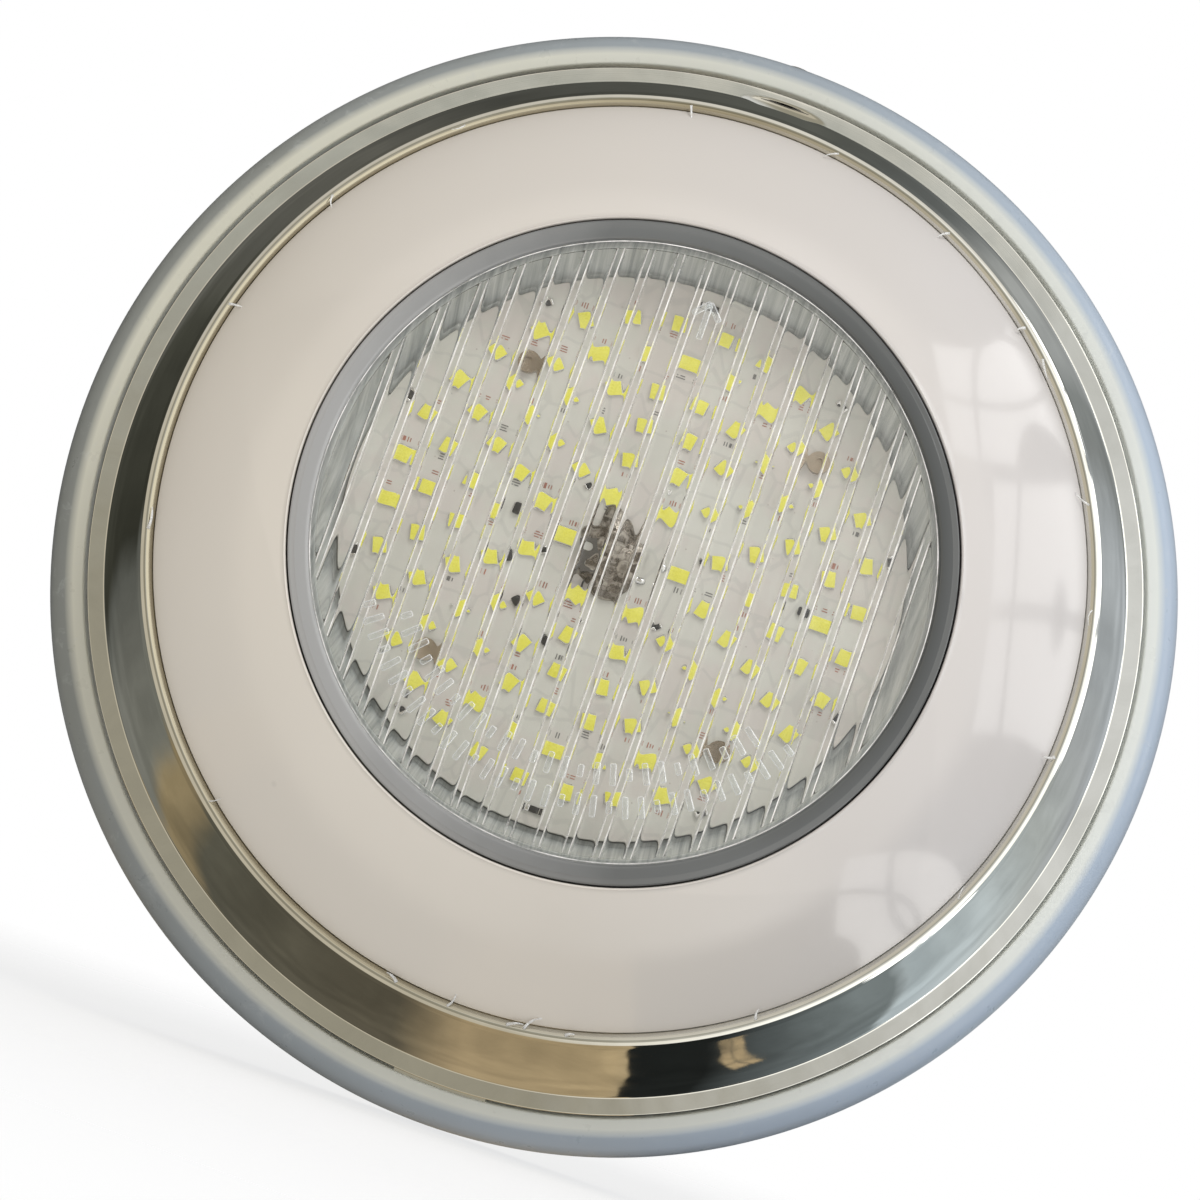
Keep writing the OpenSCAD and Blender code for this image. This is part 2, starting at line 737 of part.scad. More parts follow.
// A tube through the path's points, with each section square to the path.
module swept(path, r, sides) {
    n = len(path);
    rings = [for (i = [0:n - 1]) let (
        d = unit(path[min(i + 1, n - 1)] - path[max(i - 1, 0)]),
        out = unit([path[i][0], path[i][1], 0]),
        e1 = unit(out - d * (d * out) + [0, 0, abs(d * out) > 0.7 ? 1 : 0]),
        e2 = crossed(d, e1),
        e3 = crossed(e2, d))
        [for (k = [0:sides - 1]) path[i] + r * (cos(360 * k / sides) * e3 + sin(360 * k / sides) * e2)]];
    points = [for (section = rings) each section];
    walls = [for (i = [0:n - 2]) for (k = [0:sides - 1]) let (m = (k + 1) % sides)
        [i * sides + k, (i + 1) * sides + k, (i + 1) * sides + m, i * sides + m]];
    ends = [[for (k = [0:sides - 1]) k], [for (k = [sides - 1:-1:0]) (n - 1) * sides + k]];
    polyhedron(points, concat(walls, ends), convexity = 8);
}

module cable() {
    color("black") upright() swept(cable_path(), cable_r, cable_sides);
}

// Each core runs in from the gland and ends in a crimped pin that stands on the rectifier board.
module cable_cores() {
    pin_r = 1.1;
    color("firebrick") upright() for (s = [-1, 1]) gland_at() translate([0, 1.8 * s, 0]) {
        bar_x(0.9, -56 + gap, -40);
        translate([-40, 0, 0]) rod(pin_r, rect_z + board_t + gap - gland_z, 1.4);
    }
}

wall_base();
cable_grommet();
lock_insert();
lock_washer();
lock_screw();
lock_tip();
face_ring();
hinge_hook();
dome_cover();
dome_screws();
bezel_ring();
lens();
lens_seal();
lamp_gasket();
lamp_shell();
lamp_shell_screws();
lamp_clamps();
lamp_clamp_screws();
reflector_cup();
led_board();
leds();
resistors();
driver_chips();
terminal_block();
terminal_pins();
board_screws();
thermal_pad();
heat_spreader();
supply_wires();
rectifier_board();
rectifier_board_screws();
smoothing_capacitors();
choke();
bridge_rectifier();
cable_cores();
gland_body();
gland_locknut();
gland_seal();
gland_cap();
cable();
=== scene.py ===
"""Looks of the underwater pool light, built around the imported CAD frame.

Profiles and outlines are in millimetres in the light's own directions: x to the right, y to its top,
z out of the wall. at() turns such a point into the frame's metres.
"""

import json
import math
import random

import bmesh
import bpy
from mathutils import Matrix, Vector

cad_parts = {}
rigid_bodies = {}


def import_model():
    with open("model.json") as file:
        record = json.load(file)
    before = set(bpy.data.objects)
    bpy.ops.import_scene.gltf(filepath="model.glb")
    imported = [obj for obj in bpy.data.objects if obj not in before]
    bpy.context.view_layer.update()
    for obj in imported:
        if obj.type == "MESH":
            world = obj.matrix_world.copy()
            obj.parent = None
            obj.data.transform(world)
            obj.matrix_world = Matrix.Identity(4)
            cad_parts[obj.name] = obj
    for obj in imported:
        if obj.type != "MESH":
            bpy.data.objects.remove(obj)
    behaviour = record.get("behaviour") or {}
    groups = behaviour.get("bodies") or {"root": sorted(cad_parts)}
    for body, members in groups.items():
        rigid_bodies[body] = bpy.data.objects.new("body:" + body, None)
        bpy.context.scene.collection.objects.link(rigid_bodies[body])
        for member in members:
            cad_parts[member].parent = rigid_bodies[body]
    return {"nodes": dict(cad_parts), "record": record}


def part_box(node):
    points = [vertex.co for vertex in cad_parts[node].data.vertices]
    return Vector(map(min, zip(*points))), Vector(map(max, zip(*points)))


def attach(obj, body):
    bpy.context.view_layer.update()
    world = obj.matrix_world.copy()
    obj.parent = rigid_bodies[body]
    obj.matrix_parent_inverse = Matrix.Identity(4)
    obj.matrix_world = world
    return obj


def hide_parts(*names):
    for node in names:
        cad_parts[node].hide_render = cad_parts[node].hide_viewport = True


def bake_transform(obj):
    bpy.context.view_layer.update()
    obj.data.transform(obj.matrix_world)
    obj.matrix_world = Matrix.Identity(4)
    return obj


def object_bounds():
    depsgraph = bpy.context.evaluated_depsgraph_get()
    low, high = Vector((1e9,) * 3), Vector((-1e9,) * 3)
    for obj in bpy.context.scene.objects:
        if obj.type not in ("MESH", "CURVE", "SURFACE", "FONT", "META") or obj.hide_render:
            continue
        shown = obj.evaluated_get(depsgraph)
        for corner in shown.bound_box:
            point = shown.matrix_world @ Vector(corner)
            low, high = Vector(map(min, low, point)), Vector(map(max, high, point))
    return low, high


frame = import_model()
cad_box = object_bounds()

MM = 0.001
SEGMENTS = 288


# ---- Sizes, from the frame ------------------------------------------------------------------


def outer_r(node):
    """Half the width of a round node, in mm."""
    low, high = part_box(node)
    return (high.x - low.x) / 2 / MM


def depths(node):
    """The node's nearest and farthest distance from the wall, in mm."""
    low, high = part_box(node)
    return -high.y / MM, -low.y / MM


BASE_R = outer_r("wall_base")
RIM_Z = depths("wall_base")[1]
RING_R = outer_r("face_ring")
SKIRT_Z, CREST_Z = depths("face_ring")
FLANGE_Z = SKIRT_Z + 8      # the flat edge, at the front of an 8 mm skirt
DOME_Z = depths("dome_cover")[1]
BEZEL_FLANGE_R = outer_r("bezel_ring")
BEZEL_BACK_Z, BEZEL_Z = depths("bezel_ring")
LENS_R = outer_r("lens")
LENS_BACK_Z, LENS_TOP_Z = depths("lens")
BOARD_R = outer_r("led_board")
BOARD_TOP_Z = depths("led_board")[1]
CABLE_R = 4.0
SHEET_T = 0.9


def at(x, y, z):
    """A point in the light's own directions, in mm, as a point of the frame, in metres."""
    return Vector((x, -z, y)) * MM


def polar(r, degrees, z):
    a = math.radians(degrees)
    return at(r * math.cos(a), r * math.sin(a), z)


# ---- Node-based materials -------------------------------------------------------------------


class Nodes:
    """Short calls for building a material's node tree."""

    def __init__(self, name):
        self.material = bpy.data.materials.new(name)
        self.material.use_nodes = True
        self.tree = self.material.node_tree
        self.tree.nodes.clear()
        self.output = self.add("ShaderNodeOutputMaterial")

    def add(self, kind, **settings):
        node = self.tree.nodes.new(kind)
        inputs = settings.pop("inputs", {})
        for key, value in settings.items():
            setattr(node, key, value)
        for key, value in inputs.items():
            self.put(value, node.inputs[key])
        return node

    def put(self, value, socket):
        if isinstance(value, bpy.types.NodeSocket):
            self.tree.links.new(value, socket)
        elif isinstance(value, (tuple, list)) and len(value) == 3 and socket.type == "RGBA":
            socket.default_value = (*value, 1.0)
        else:
            socket.default_value = value

    def place(self):
        """The frame's own coordinates, in mm."""
        coordinate = self.add("ShaderNodeTexCoord").outputs["Object"]
        return self.add("ShaderNodeVectorMath", operation="SCALE",
                        inputs={0: coordinate, "Scale": 1 / MM}).outputs[0]

    def math(self, operation, a, b=0.0, c=0.0):
        return self.add("ShaderNodeMath", operation=operation, inputs={0: a, 1: b, 2: c}).outputs[0]

    def split(self, vector):
        return self.add("ShaderNodeSeparateXYZ", inputs={0: vector}).outputs

    def join(self, x, y, z):
        return self.add("ShaderNodeCombineXYZ", inputs={0: x, 1: y, 2: z}).outputs[0]

    def radius(self, vector):
        """Distance from the light's axis, in mm."""
        x, _, z = self.split(vector)
        return self.math("SQRT", self.math("ADD", self.math("MULTIPLY", x, x), self.math("MULTIPLY", z, z)))

    def across_face(self, vector, right, up):
        """How far a place lies in the direction (right, up) across the light's face, in mm."""
        x, _, z = self.split(vector)
        return self.math("ADD", self.math("MULTIPLY", x, right), self.math("MULTIPLY", z, up))

    def noise(self, vector, scale, detail=3.0, roughness=0.55, distortion=0.0):
        return self.add("ShaderNodeTexNoise", inputs={
            "Vector": vector, "Scale": scale, "Detail": detail, "Roughness": roughness,
            "Distortion": distortion}).outputs["Fac"]

    def patchy(self, vector, low, high):
        """A roughness that drifts between about low and high."""
        return self.remap(self.noise(vector, 0.25, 4, 0.6), 0.3, 0.7, low, high)

    def spots(self, vector, scale):
        return self.add("ShaderNodeTexVoronoi", inputs={"Vector": vector, "Scale": scale}).outputs["Distance"]

    def remap(self, value, low, high, to_low, to_high):
        return self.add("ShaderNodeMapRange", inputs={
            0: value, 1: low, 2: high, 3: to_low, 4: to_high}).outputs[0]

    def mix(self, share, a, b):
        node = self.add("ShaderNodeMix", data_type="RGBA")
        self.put(share, node.inputs[0])
        self.put(a, node.inputs[6])
        self.put(b, node.inputs[7])
        return node.outputs[2]

    def ramp(self, value, stops):
        """A colour that changes along value, from stops of (value, colour)."""
        node = self.add("ShaderNodeValToRGB", inputs={"Fac": value})
        marks = node.color_ramp.elements
        while len(marks) < len(stops):
            marks.new(0.5)
        for mark, (place, colour) in zip(marks, stops):
            mark.position = place
            mark.color = (*colour, 1.0)
        return node.outputs["Color"]

    def bump(self, height, strength, distance=0.0002):
        return self.add("ShaderNodeBump", inputs={
            "Height": height, "Strength": strength, "Distance": distance}).outputs[0]

    def principled(self, **inputs):
        names = {key.replace("_", " "): value for key, value in inputs.items()}
        return self.add("ShaderNodeBsdfPrincipled", inputs=names).outputs[0]

    def blend(self, share, a, b):
        node = self.add("ShaderNodeMixShader", inputs={0: share})
        self.put(a, node.inputs[1])
        self.put(b, node.inputs[2])
        return node.outputs[0]

    def done(self, shader):
        self.put(shader, self.output.inputs["Surface"])
        return self.material


def plastic(name, colour, rough=0.3, vary=0.06, grain=0.15, wear=None, coat=0.0, subsurface=0.0):
    """Moulded plastic: cloudy colour, uneven gloss, fine moulding texture and rubbed patches."""
    n = Nodes(name)
    p = n.place()
    cloud = n.noise(p, 0.035, 4)
    fine = n.noise(p, 1.6, 5, 0.6)
    dark = tuple(c * (1 - vary) for c in colour)
    light = tuple(min(1.0, c * (1 + vary * 0.6)) for c in colour)
    tint = n.mix(n.remap(cloud, 0.35, 0.65, 0, 1), dark, light)
    if wear:
        rubbed = n.remap(n.noise(p, 0.12, 6, 0.7, 0.6), 0.56, 0.70, 0, 0.55)
        tint = n.mix(rubbed, tint, wear)
    gloss = n.patchy(p, rough * 0.8, rough * 1.25)
    shader = n.principled(
        Base_Color=tint, Roughness=gloss, Normal=n.bump(fine, grain, 0.00006),
        Coat_Weight=coat, Coat_Roughness=0.06, Subsurface_Weight=subsurface,
        Subsurface_Radius=(0.004, 0.0035, 0.003), IOR=1.5)
    return n.done(shader)


def metal(name, colour, rough=0.25, vary=0.08, brushed=0.0, stain=None):
    """Bare metal: turned or brushed lines, smudged gloss and a few stains."""
    n = Nodes(name)
    p = n.place()
    lines = n.noise(n.join(n.radius(p), n.split(p)[1], 0.0), 3.0, 4, 0.6)
    smudge = n.noise(p, 0.09, 5, 0.6, 0.4)
    dark = tuple(c * (1 - vary) for c in colour)
    tint = n.mix(n.remap(smudge, 0.35, 0.65, 0, 1), dark, colour)
    if stain:
        tint = n.mix(n.remap(n.noise(p, 0.5, 5, 0.7), 0.60, 0.72, 0, 0.5), tint, stain)
    gloss = n.math("ADD", n.remap(smudge, 0.3, 0.7, rough * 0.7, rough * 1.3),
                   n.remap(lines, 0.3, 0.7, 0.0, brushed * 0.15))
    shader = n.principled(Base_Color=tint, Metallic=1.0, Roughness=gloss,
                          Normal=n.bump(lines, brushed, 0.00005))
    return n.done(shader)


def base_plastic():
    """Milky grey plastic with painted light: pale on the flat land, and a painted deeper blue-grey reflection
    where the rim rounds over; both are paler on the lit right.
    """
    n = Nodes("rim_plastic_satin")
    p = n.place()
    cloud = n.noise(p, 0.03, 4)
    x, y, _ = n.split(p)
    # Painted light: side runs from the shaded left of the face to its lit right.
    side = n.remap(n.math("ADD", x, n.math("MULTIPLY", cloud, 60)), -90, 150, 0, 1)
    in_front = n.remap(y, -0.2, -1.6, 0, 1)
    # Painted light: the flat land is painted darker and warmer on the shaded left and pale on the lit right.
    land = n.mix(side, (0.66, 0.65, 0.55), (0.81, 0.84, 0.81))
    # Painted reflection: where the rim rounds over, it is painted dark grey-green on the left and blue on the
    # right, where the window is mirrored.
    bead_painted_reflection = n.mix(side, (0.27, 0.28, 0.26), (0.44, 0.52, 0.62))
    r = n.radius(p)
    tint = n.mix(n.math("MULTIPLY", in_front, n.remap(r, BASE_R - 7.6, BASE_R - 5.4, 0, 1)), land, bead_painted_reflection)
    # Painted reflection: the outermost rounding is painted darker still, as if mirroring the dark room at a
    # grazing angle.
    edge = n.math("MULTIPLY", in_front, n.remap(r, BASE_R - 2.6, BASE_R - 0.4, 0, 0.55))
    tint = n.mix(edge, tint, (0.20, 0.225, 0.25))
    scuff = n.remap(n.noise(p, 0.16, 6, 0.7, 0.8), 0.58, 0.72, 0, 0.3)
    tint = n.mix(scuff, tint, (0.60, 0.62, 0.60))
    return n.done(n.principled(Base_Color=tint, Roughness=n.patchy(p, 0.26, 0.40), Subsurface_Weight=0.12,
                               Subsurface_Radius=(0.003, 0.003, 0.003),
                               Normal=n.bump(n.noise(p, 1.6, 5, 0.6), 0.12, 0.00006)))


def dome_plastic():
    """Gloss white with a coat, with painted light: a warm tint on the left, cooler on the right, and palest
    at the lower left.
    """
    n = Nodes("dome_gloss_white")
    p = n.place()
    cloud = n.noise(p, 0.022, 3)
    # Painted light: the tint shifts from a warm left to a cooler right across the face.
    side = n.math("ADD", n.across_face(p, 0.95, 0.25), n.math("MULTIPLY", cloud, 50))
    side = n.remap(side, -100, 110, 0, 1)
    tint = n.mix(side, (0.685, 0.635, 0.55), (0.67, 0.637, 0.612))
    # Painted light: the lower left is painted paler.
    painted_light_low_left = n.remap(n.across_face(p, -0.43, -0.90), 15, 105, 0, 1)
    tint = n.mix(painted_light_low_left, tint, (0.83, 0.78, 0.70))
    speck = n.remap(n.spots(p, 0.05), 0.02, 0.05, 0.25, 0)
    tint = n.mix(speck, tint, (0.60, 0.56, 0.50))
    return n.done(n.principled(Base_Color=tint, Roughness=n.patchy(p, 0.10, 0.16), Coat_Weight=0.6,
                               Coat_Roughness=0.05, Subsurface_Weight=0.05,
                               Subsurface_Radius=(0.003, 0.003, 0.003),
                               Normal=n.bump(n.noise(p, 0.035, 2), 0.15, 0.0010)))


def bezel_plastic():
    """Gloss grey with a painted reflection: paler on the side that faces the light wall of the room, painted
    darker towards the right.
    """
    n = Nodes("bezel_gloss_grey")
    p = n.place()
    cloud = n.noise(p, 0.05, 4)
    side = n.math("ADD", n.across_face(p, 0.94, 0.33), n.math("MULTIPLY", cloud, 30))
    # Painted reflection and shade: pale on the left, darker to the right, darkest at the far right.
    tint = n.mix(n.remap(side, -50, 15, 0, 1), (0.40, 0.40, 0.395), (0.15, 0.156, 0.155))
    tint = n.mix(n.remap(side, 35, 85, 0, 1), tint, (0.085, 0.09, 0.09))
    return n.done(n.principled(Base_Color=tint, Roughness=n.patchy(p, 0.12, 0.2), Coat_Weight=0.5,
                               Coat_Roughness=0.05,
                               Normal=n.bump(n.noise(p, 1.6, 5, 0.6), 0.05, 0.00006)))


def sealant():
    """Glossy, half-clear potting over the contacts, brown-grey and full of glints."""
    n = Nodes("contact_sealant")
    p = n.place()
    lump = n.noise(p, 0.45, 4, 0.6, 0.8)
    tint = n.mix(n.remap(lump, 0.4, 0.6, 0, 1), (0.12, 0.095, 0.075), (0.46, 0.42, 0.37))
    gloss = n.principled(Base_Color=tint, Metallic=0.4, Roughness=0.2, Normal=n.bump(lump, 0.7, 0.0006))
    clear = n.add("ShaderNodeBsdfTransparent", inputs={"Color": (0.72, 0.66, 0.58)})
    return n.done(n.blend(n.remap(lump, 0.35, 0.6, 0.5, 0.94), clear.outputs[0], gloss))


def cup_plastic():
    """Grey cup wall with upright drawing lines, which the lens spreads into streaks."""
    n = Nodes("cup_grey")
    p = n.place()
    x, _, z = n.split(p)
    streak = n.noise(n.join(x, 0.0, n.math("MULTIPLY", z, 0.06)), 0.9, 4, 0.65)
    tint = n.mix(n.remap(streak, 0.35, 0.65, 0, 1), (0.31, 0.335, 0.335), (0.60, 0.62, 0.61))
    return n.done(n.principled(Base_Color=tint, Roughness=0.22, Coat_Weight=0.3,
                               Normal=n.bump(streak, 0.3, 0.0001)))


def rubber(name, colour, rough=0.65):
    n = Nodes(name)
    p = n.place()
    dust = n.remap(n.noise(p, 0.3, 6, 0.7), 0.5, 0.75, 0, 0.35)
    tint = n.mix(dust, colour, tuple(c + 0.10 for c in colour))
    grain = n.noise(p, 4.0, 4, 0.6)
    return n.done(n.principled(Base_Color=tint, Roughness=n.remap(dust, 0, 0.35, rough, rough + 0.2),
                               Normal=n.bump(grain, 0.35, 0.00008)))


def polished_steel():
    """Mirror-polished sheet: buffing rings, faint smears, small dry water marks, and a painted warm
    reflection inside the crest.
    """
    n = Nodes("polished_steel_sheet")
    p = n.place()
    buff = n.noise(n.join(n.radius(p), n.split(p)[1], 0.0), 6.0, 3)
    smear = n.noise(p, 0.045, 5, 0.6, 1.2)
    marks = n.remap(n.spots(p, 0.35), 0.03, 0.10, 1, 0)
    marks = n.math("MULTIPLY", marks, n.remap(n.noise(p, 0.03, 2), 0.52, 0.6, 0, 1))
    tint = n.mix(n.remap(smear, 0.35, 0.7, 0, 1), (0.80, 0.80, 0.77), (0.70, 0.70, 0.67))
    tint = n.mix(n.math("MULTIPLY", marks, 0.35), tint, (0.88, 0.88, 0.86))
    x, depth, _ = n.split(p)
    # Painted reflection: the inside of the crest is painted warm brown-grey, strongest on the left and gone
    # on the right, standing in for the warm room it mirrors.
    inner = n.math("MULTIPLY", n.remap(n.radius(p), 114.5, 115.3, 1, 0), n.remap(depth, -56, -57, 0, 1))
    painted_warm_reflection = n.math("MULTIPLY", inner, n.remap(x, -20, 60, 0.9, 0))
    tint = n.mix(painted_warm_reflection, tint, (0.42, 0.38, 0.28))
    gloss = n.math("ADD", n.remap(smear, 0.4, 0.75, 0.03, 0.10), n.math("MULTIPLY", marks, 0.18))
    wobble = n.noise(p, 0.05, 2)
    height = n.math("ADD", n.math("MULTIPLY", buff, 0.02), wobble)
    return n.done(n.principled(Base_Color=tint, Metallic=1.0, Roughness=gloss,
                               Normal=n.bump(height, 0.12, 0.0012)))


def clear_lens():
    """Clear polycarbonate that lets light through to the board for soft shadows."""
    n = Nodes("clear_polycarbonate")
    p = n.place()
    haze = n.remap(n.noise(p, 0.2, 5, 0.6), 0.4, 0.8, 0.0, 0.02)
    glass = n.add("ShaderNodeBsdfGlass", inputs={
        "Color": (0.985, 0.985, 0.98), "Roughness": haze, "IOR": 1.5})
    path = n.add("ShaderNodeLightPath")
    clear = n.add("ShaderNodeBsdfTransparent", inputs={"Color": (0.95, 0.95, 0.94)})
    passing = n.math("MAXIMUM", path.outputs["Is Shadow Ray"], path.outputs["Is Diffuse Ray"])
    return n.done(n.blend(passing, glass.outputs[0], clear.outputs[0]))


def painted_rib_highlight(name, dense):
    """One edge of the lens's inner ribs, with a painted highlight: frosted white with a faint glow, broken in
    places, stands in for the thin white line where the rib catches the light.
    """
    n = Nodes(name)
    p = n.place()
    broken = n.remap(n.noise(p, 0.10, 4, 0.65), 0.36, 0.60, dense * 0.15, dense)
    # Painted highlight: frosted white plus a faint glow on the rib faces.
    painted_frost = n.principled(Base_Color=(0.93, 0.91, 0.885), Roughness=0.25, Normal=n.bump(n.noise(p, 3.0), 0.1))
    painted_glow = n.add("ShaderNodeEmission", inputs={"Color": (1.0, 0.97, 0.94), "Strength": 0.22})
    lit = n.add("ShaderNodeAddShader", inputs={0: painted_frost, 1: painted_glow.outputs[0]})
    clear = n.add("ShaderNodeBsdfTransparent")
    return n.done(n.blend(broken, clear.outputs[0], lit.outputs[0]))


def clear_mark():
    """Raised clear marks: see-through from the front, bright on their rounded edges, partly from real gloss
    and partly from a painted glow.
    """
    n = Nodes("raised_mark")
    p = n.place()
    facing = n.add("ShaderNodeLayerWeight", inputs={"Blend": 0.35}).outputs["Facing"]
    # Partly painted light: the turned-away edges mix real gloss with frosted white that glows.
    edge = n.remap(facing, 0.06, 0.40, 0.10, 1.0)
    edge = n.math("MULTIPLY", edge, n.remap(n.noise(p, 0.4, 3), 0.3, 0.6, 0.75, 1.0))
    gloss = n.add("ShaderNodeBsdfGlossy", inputs={"Color": (0.9, 0.92, 0.92), "Roughness": 0.08})
    painted_frost = n.principled(Base_Color=(0.90, 0.91, 0.91), Roughness=0.2, Emission_Color=(1.0, 1.0, 1.0),
                         Emission_Strength=0.35)
    gloss_and_painted_glow = n.blend(0.5, gloss.outputs[0], painted_frost)
    clear = n.add("ShaderNodeBsdfTransparent", inputs={"Color": (0.95, 0.96, 0.96)})
    return n.done(n.blend(edge, clear.outputs[0], gloss_and_painted_glow))


def board_white():
    """White solder mask with faint tracks and via dots showing through."""
    n = Nodes("board_solder_mask")
    p = n.place()
    cells = n.add("ShaderNodeTexVoronoi", feature="DISTANCE_TO_EDGE", inputs={"Vector": p, "Scale": 0.09})
    track = n.remap(cells.outputs["Distance"], 0.02, 0.04, 1, 0)
    dots = n.remap(n.spots(p, 0.24), 0.04, 0.055, 1, 0)
    cloud = n.noise(p, 0.04, 4)
    tint = n.mix(n.remap(cloud, 0.35, 0.65, 0, 1), (0.61, 0.60, 0.545), (0.70, 0.695, 0.64))
    blush = n.remap(n.noise(p, 0.10, 3), 0.45, 0.62, 0, 0.6)
    tint = n.mix(blush, tint, (0.66, 0.60, 0.57))
    tint = n.mix(n.math("MULTIPLY", track, 0.22), tint, (0.40, 0.40, 0.38))
    tint = n.mix(n.math("MULTIPLY", dots, 0.6), tint, (0.36, 0.30, 0.26))
    height = n.math("ADD", n.math("MULTIPLY", track, 0.6), n.noise(p, 2.0, 3))
    return n.done(n.principled(Base_Color=tint, Roughness=n.remap(cloud, 0.3, 0.7, 0.3, 0.45),
                               Normal=n.bump(height, 0.2, 0.00005)))


def phosphor():
    """Yellow phosphor gel, paler where it is thin, with a faint speckled painted glow though the LEDs are not
    switched on.
    """
    n = Nodes("led_phosphor_gel")
    p = n.place()
    speck = n.noise(p, 2.5, 4, 0.6)
    cloud = n.noise(p, 0.3, 2)
    tint = n.mix(n.remap(speck, 0.35, 0.65, 0, 1), (0.74, 0.70, 0.05), (0.84, 0.80, 0.13))
    tint = n.mix(n.remap(cloud, 0.4, 0.7, 0, 0.35), tint, (0.90, 0.88, 0.25))
    # Painted glow: specks of the gel give off a little light, though the LEDs are not switched on.
    painted_glow = n.math("MULTIPLY", speck, 0.12)
    return n.done(n.principled(Base_Color=tint, Roughness=0.35, Normal=n.bump(speck, 0.15, 0.00005),
                               Emission_Color=(0.9, 0.9, 0.15), Emission_Strength=painted_glow))


def torn_film():
    """Scraps of clear protective film, creased white."""
    n = Nodes("torn_film")
    p = n.place()
    crease = n.remap(n.noise(p, 1.2, 4, 0.7), 0.4, 0.6, 0.35, 0.95)
    film = n.principled(Base_Color=(0.93, 0.93, 0.91), Roughness=0.3, Normal=n.bump(crease, 0.4))
    clear = n.add("ShaderNodeBsdfTransparent")
    return n.done(n.blend(crease, clear.outputs[0], film))


MATERIALS = {
    "rim_plastic": base_plastic(),
    "polished_steel": polished_steel(),
    "screw_steel": metal("screw_steel_plain", (0.66, 0.66, 0.65), 0.28, 0.10, 0.3),
    "brass": metal("insert_brass", (0.76, 0.57, 0.26), 0.30, 0.15, 0.5, stain=(0.35, 0.22, 0.10)),
    "nylon": plastic("nylon_natural", (0.82, 0.81, 0.74), 0.45, 0.08),
    "dome_plastic": dome_plastic(),
    "bezel_plastic": bezel_plastic(),
    "shell_plastic": plastic("shell_semi_gloss", (0.20, 0.215, 0.23), 0.38, 0.10, 0.35),
    "cup_plastic": cup_plastic(),
    "clear_lens": clear_lens(),
    "seal_rubber": rubber("seal_black_rubber", (0.022, 0.022, 0.022)),
    "led_board_white": board_white(),
    "led_phosphor": phosphor(),
    "component_black": plastic("component_epoxy", (0.022, 0.022, 0.024), 0.35, 0.25, 0.4),
    "rectifier_board_green": plastic("rectifier_mask", (0.03, 0.17, 0.06), 0.3, 0.2, 0.2),
    "thermal_pad": rubber("thermal_pad_silicone", (0.26, 0.38, 0.50), 0.5),
    "spreader_aluminium": metal("spreader_turned", (0.72, 0.73, 0.74), 0.32, 0.10, 0.8),
    "copper_winding": metal("enamelled_copper", (0.66, 0.30, 0.12), 0.24, 0.2, 0.8),
    "wire_insulation": plastic("wire_pvc_red", (0.48, 0.035, 0.03), 0.35, 0.12, 0.2),
    "gland_nylon": plastic("gland_moulded_nylon", (0.05, 0.053, 0.056), 0.42, 0.15, 0.4),
    "cable_sheath": rubber("cable_rubber_sheath", (0.018, 0.018, 0.02), 0.5),
}
# Painted highlights for the lens's rib edges: full on one edge of each rib, fainter on the other.
RIB_HIGHLIGHT = painted_rib_highlight("lens_rib_painted_highlight", 0.92)
FAINT_RIB_HIGHLIGHT = painted_rib_highlight("lens_rib_painted_highlight_faint", 0.60)
MARK = clear_mark()
FILM = torn_film()
LED_BODY = plastic("led_package_white", (0.80, 0.80, 0.78), 0.3, 0.05, 0.1)
SOLDER = metal("solder_bright", (0.72, 0.72, 0.73), 0.22, 0.15, 0.2)
SEALANT = sealant()
BOARD_SCREW = metal("board_screw_tarnished", (0.46, 0.38, 0.30), 0.25, 0.3, 0.4, stain=(0.10, 0.07, 0.05))
TERMINAL = plastic("terminal_smoked", (0.13, 0.12, 0.11), 0.2, 0.3, 0.3)
PRINT_BROWN = plastic("print_brown", (0.40, 0.17, 0.12), 0.6, 0.2, 0.2)
PRINT_GREY = plastic("print_grey", (0.16, 0.155, 0.15), 0.6, 0.2, 0.2)

node_slot = {s["node"]: s["material_slot"] for s in frame["record"]["subparts"]}
node_body = {n: b for b, nodes in frame["record"]["behaviour"]["bodies"].items() for n in nodes}

for node, obj in frame["nodes"].items():
    obj.data.materials.clear()
    obj.data.materials.append(MATERIALS[node_slot[node]])
frame["nodes"]["board_screws"].data.materials[0] = BOARD_SCREW
frame["nodes"]["terminal_block"].data.materials[0] = TERMINAL
frame["nodes"]["supply_wires"].data.materials[0] = SOLDER


# ---- Mesh helpers ---------------------------------------------------------------------------


def new_piece(name, bm, slot, materials=None, crease=34.0):
    """Makes a piece from bm, smooth but with the edges sharper than crease degrees kept sharp."""
    bmesh.ops.recalc_face_normals(bm, faces=bm.faces)
    for face in bm.faces:
        face.smooth = True
    for edge in bm.edges:
        if len(edge.link_faces) == 2 and edge.calc_face_angle(0.0) > math.radians(crease):
            edge.smooth = False
    mesh = bpy.data.meshes.new(name)
    bm.to_mesh(mesh)
    bm.free()
    obj = bpy.data.objects.new(name, mesh)
    bpy.context.scene.collection.objects.link(obj)
    for material in materials or [MATERIALS[slot]]:
        mesh.materials.append(material)
    return obj


def stands_for(obj, node):
    """obj takes the place of a CAD node, on that node's body."""
    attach(obj, node_body[node])
    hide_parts(node)
    return obj


def arc(cx, cz, r, start, stop, steps):
    turn = [math.radians(start + (stop - start) * i / steps) for i in range(steps + 1)]
    return [(cx + r * math.cos(a), cz + r * math.sin(a)) for a in turn]


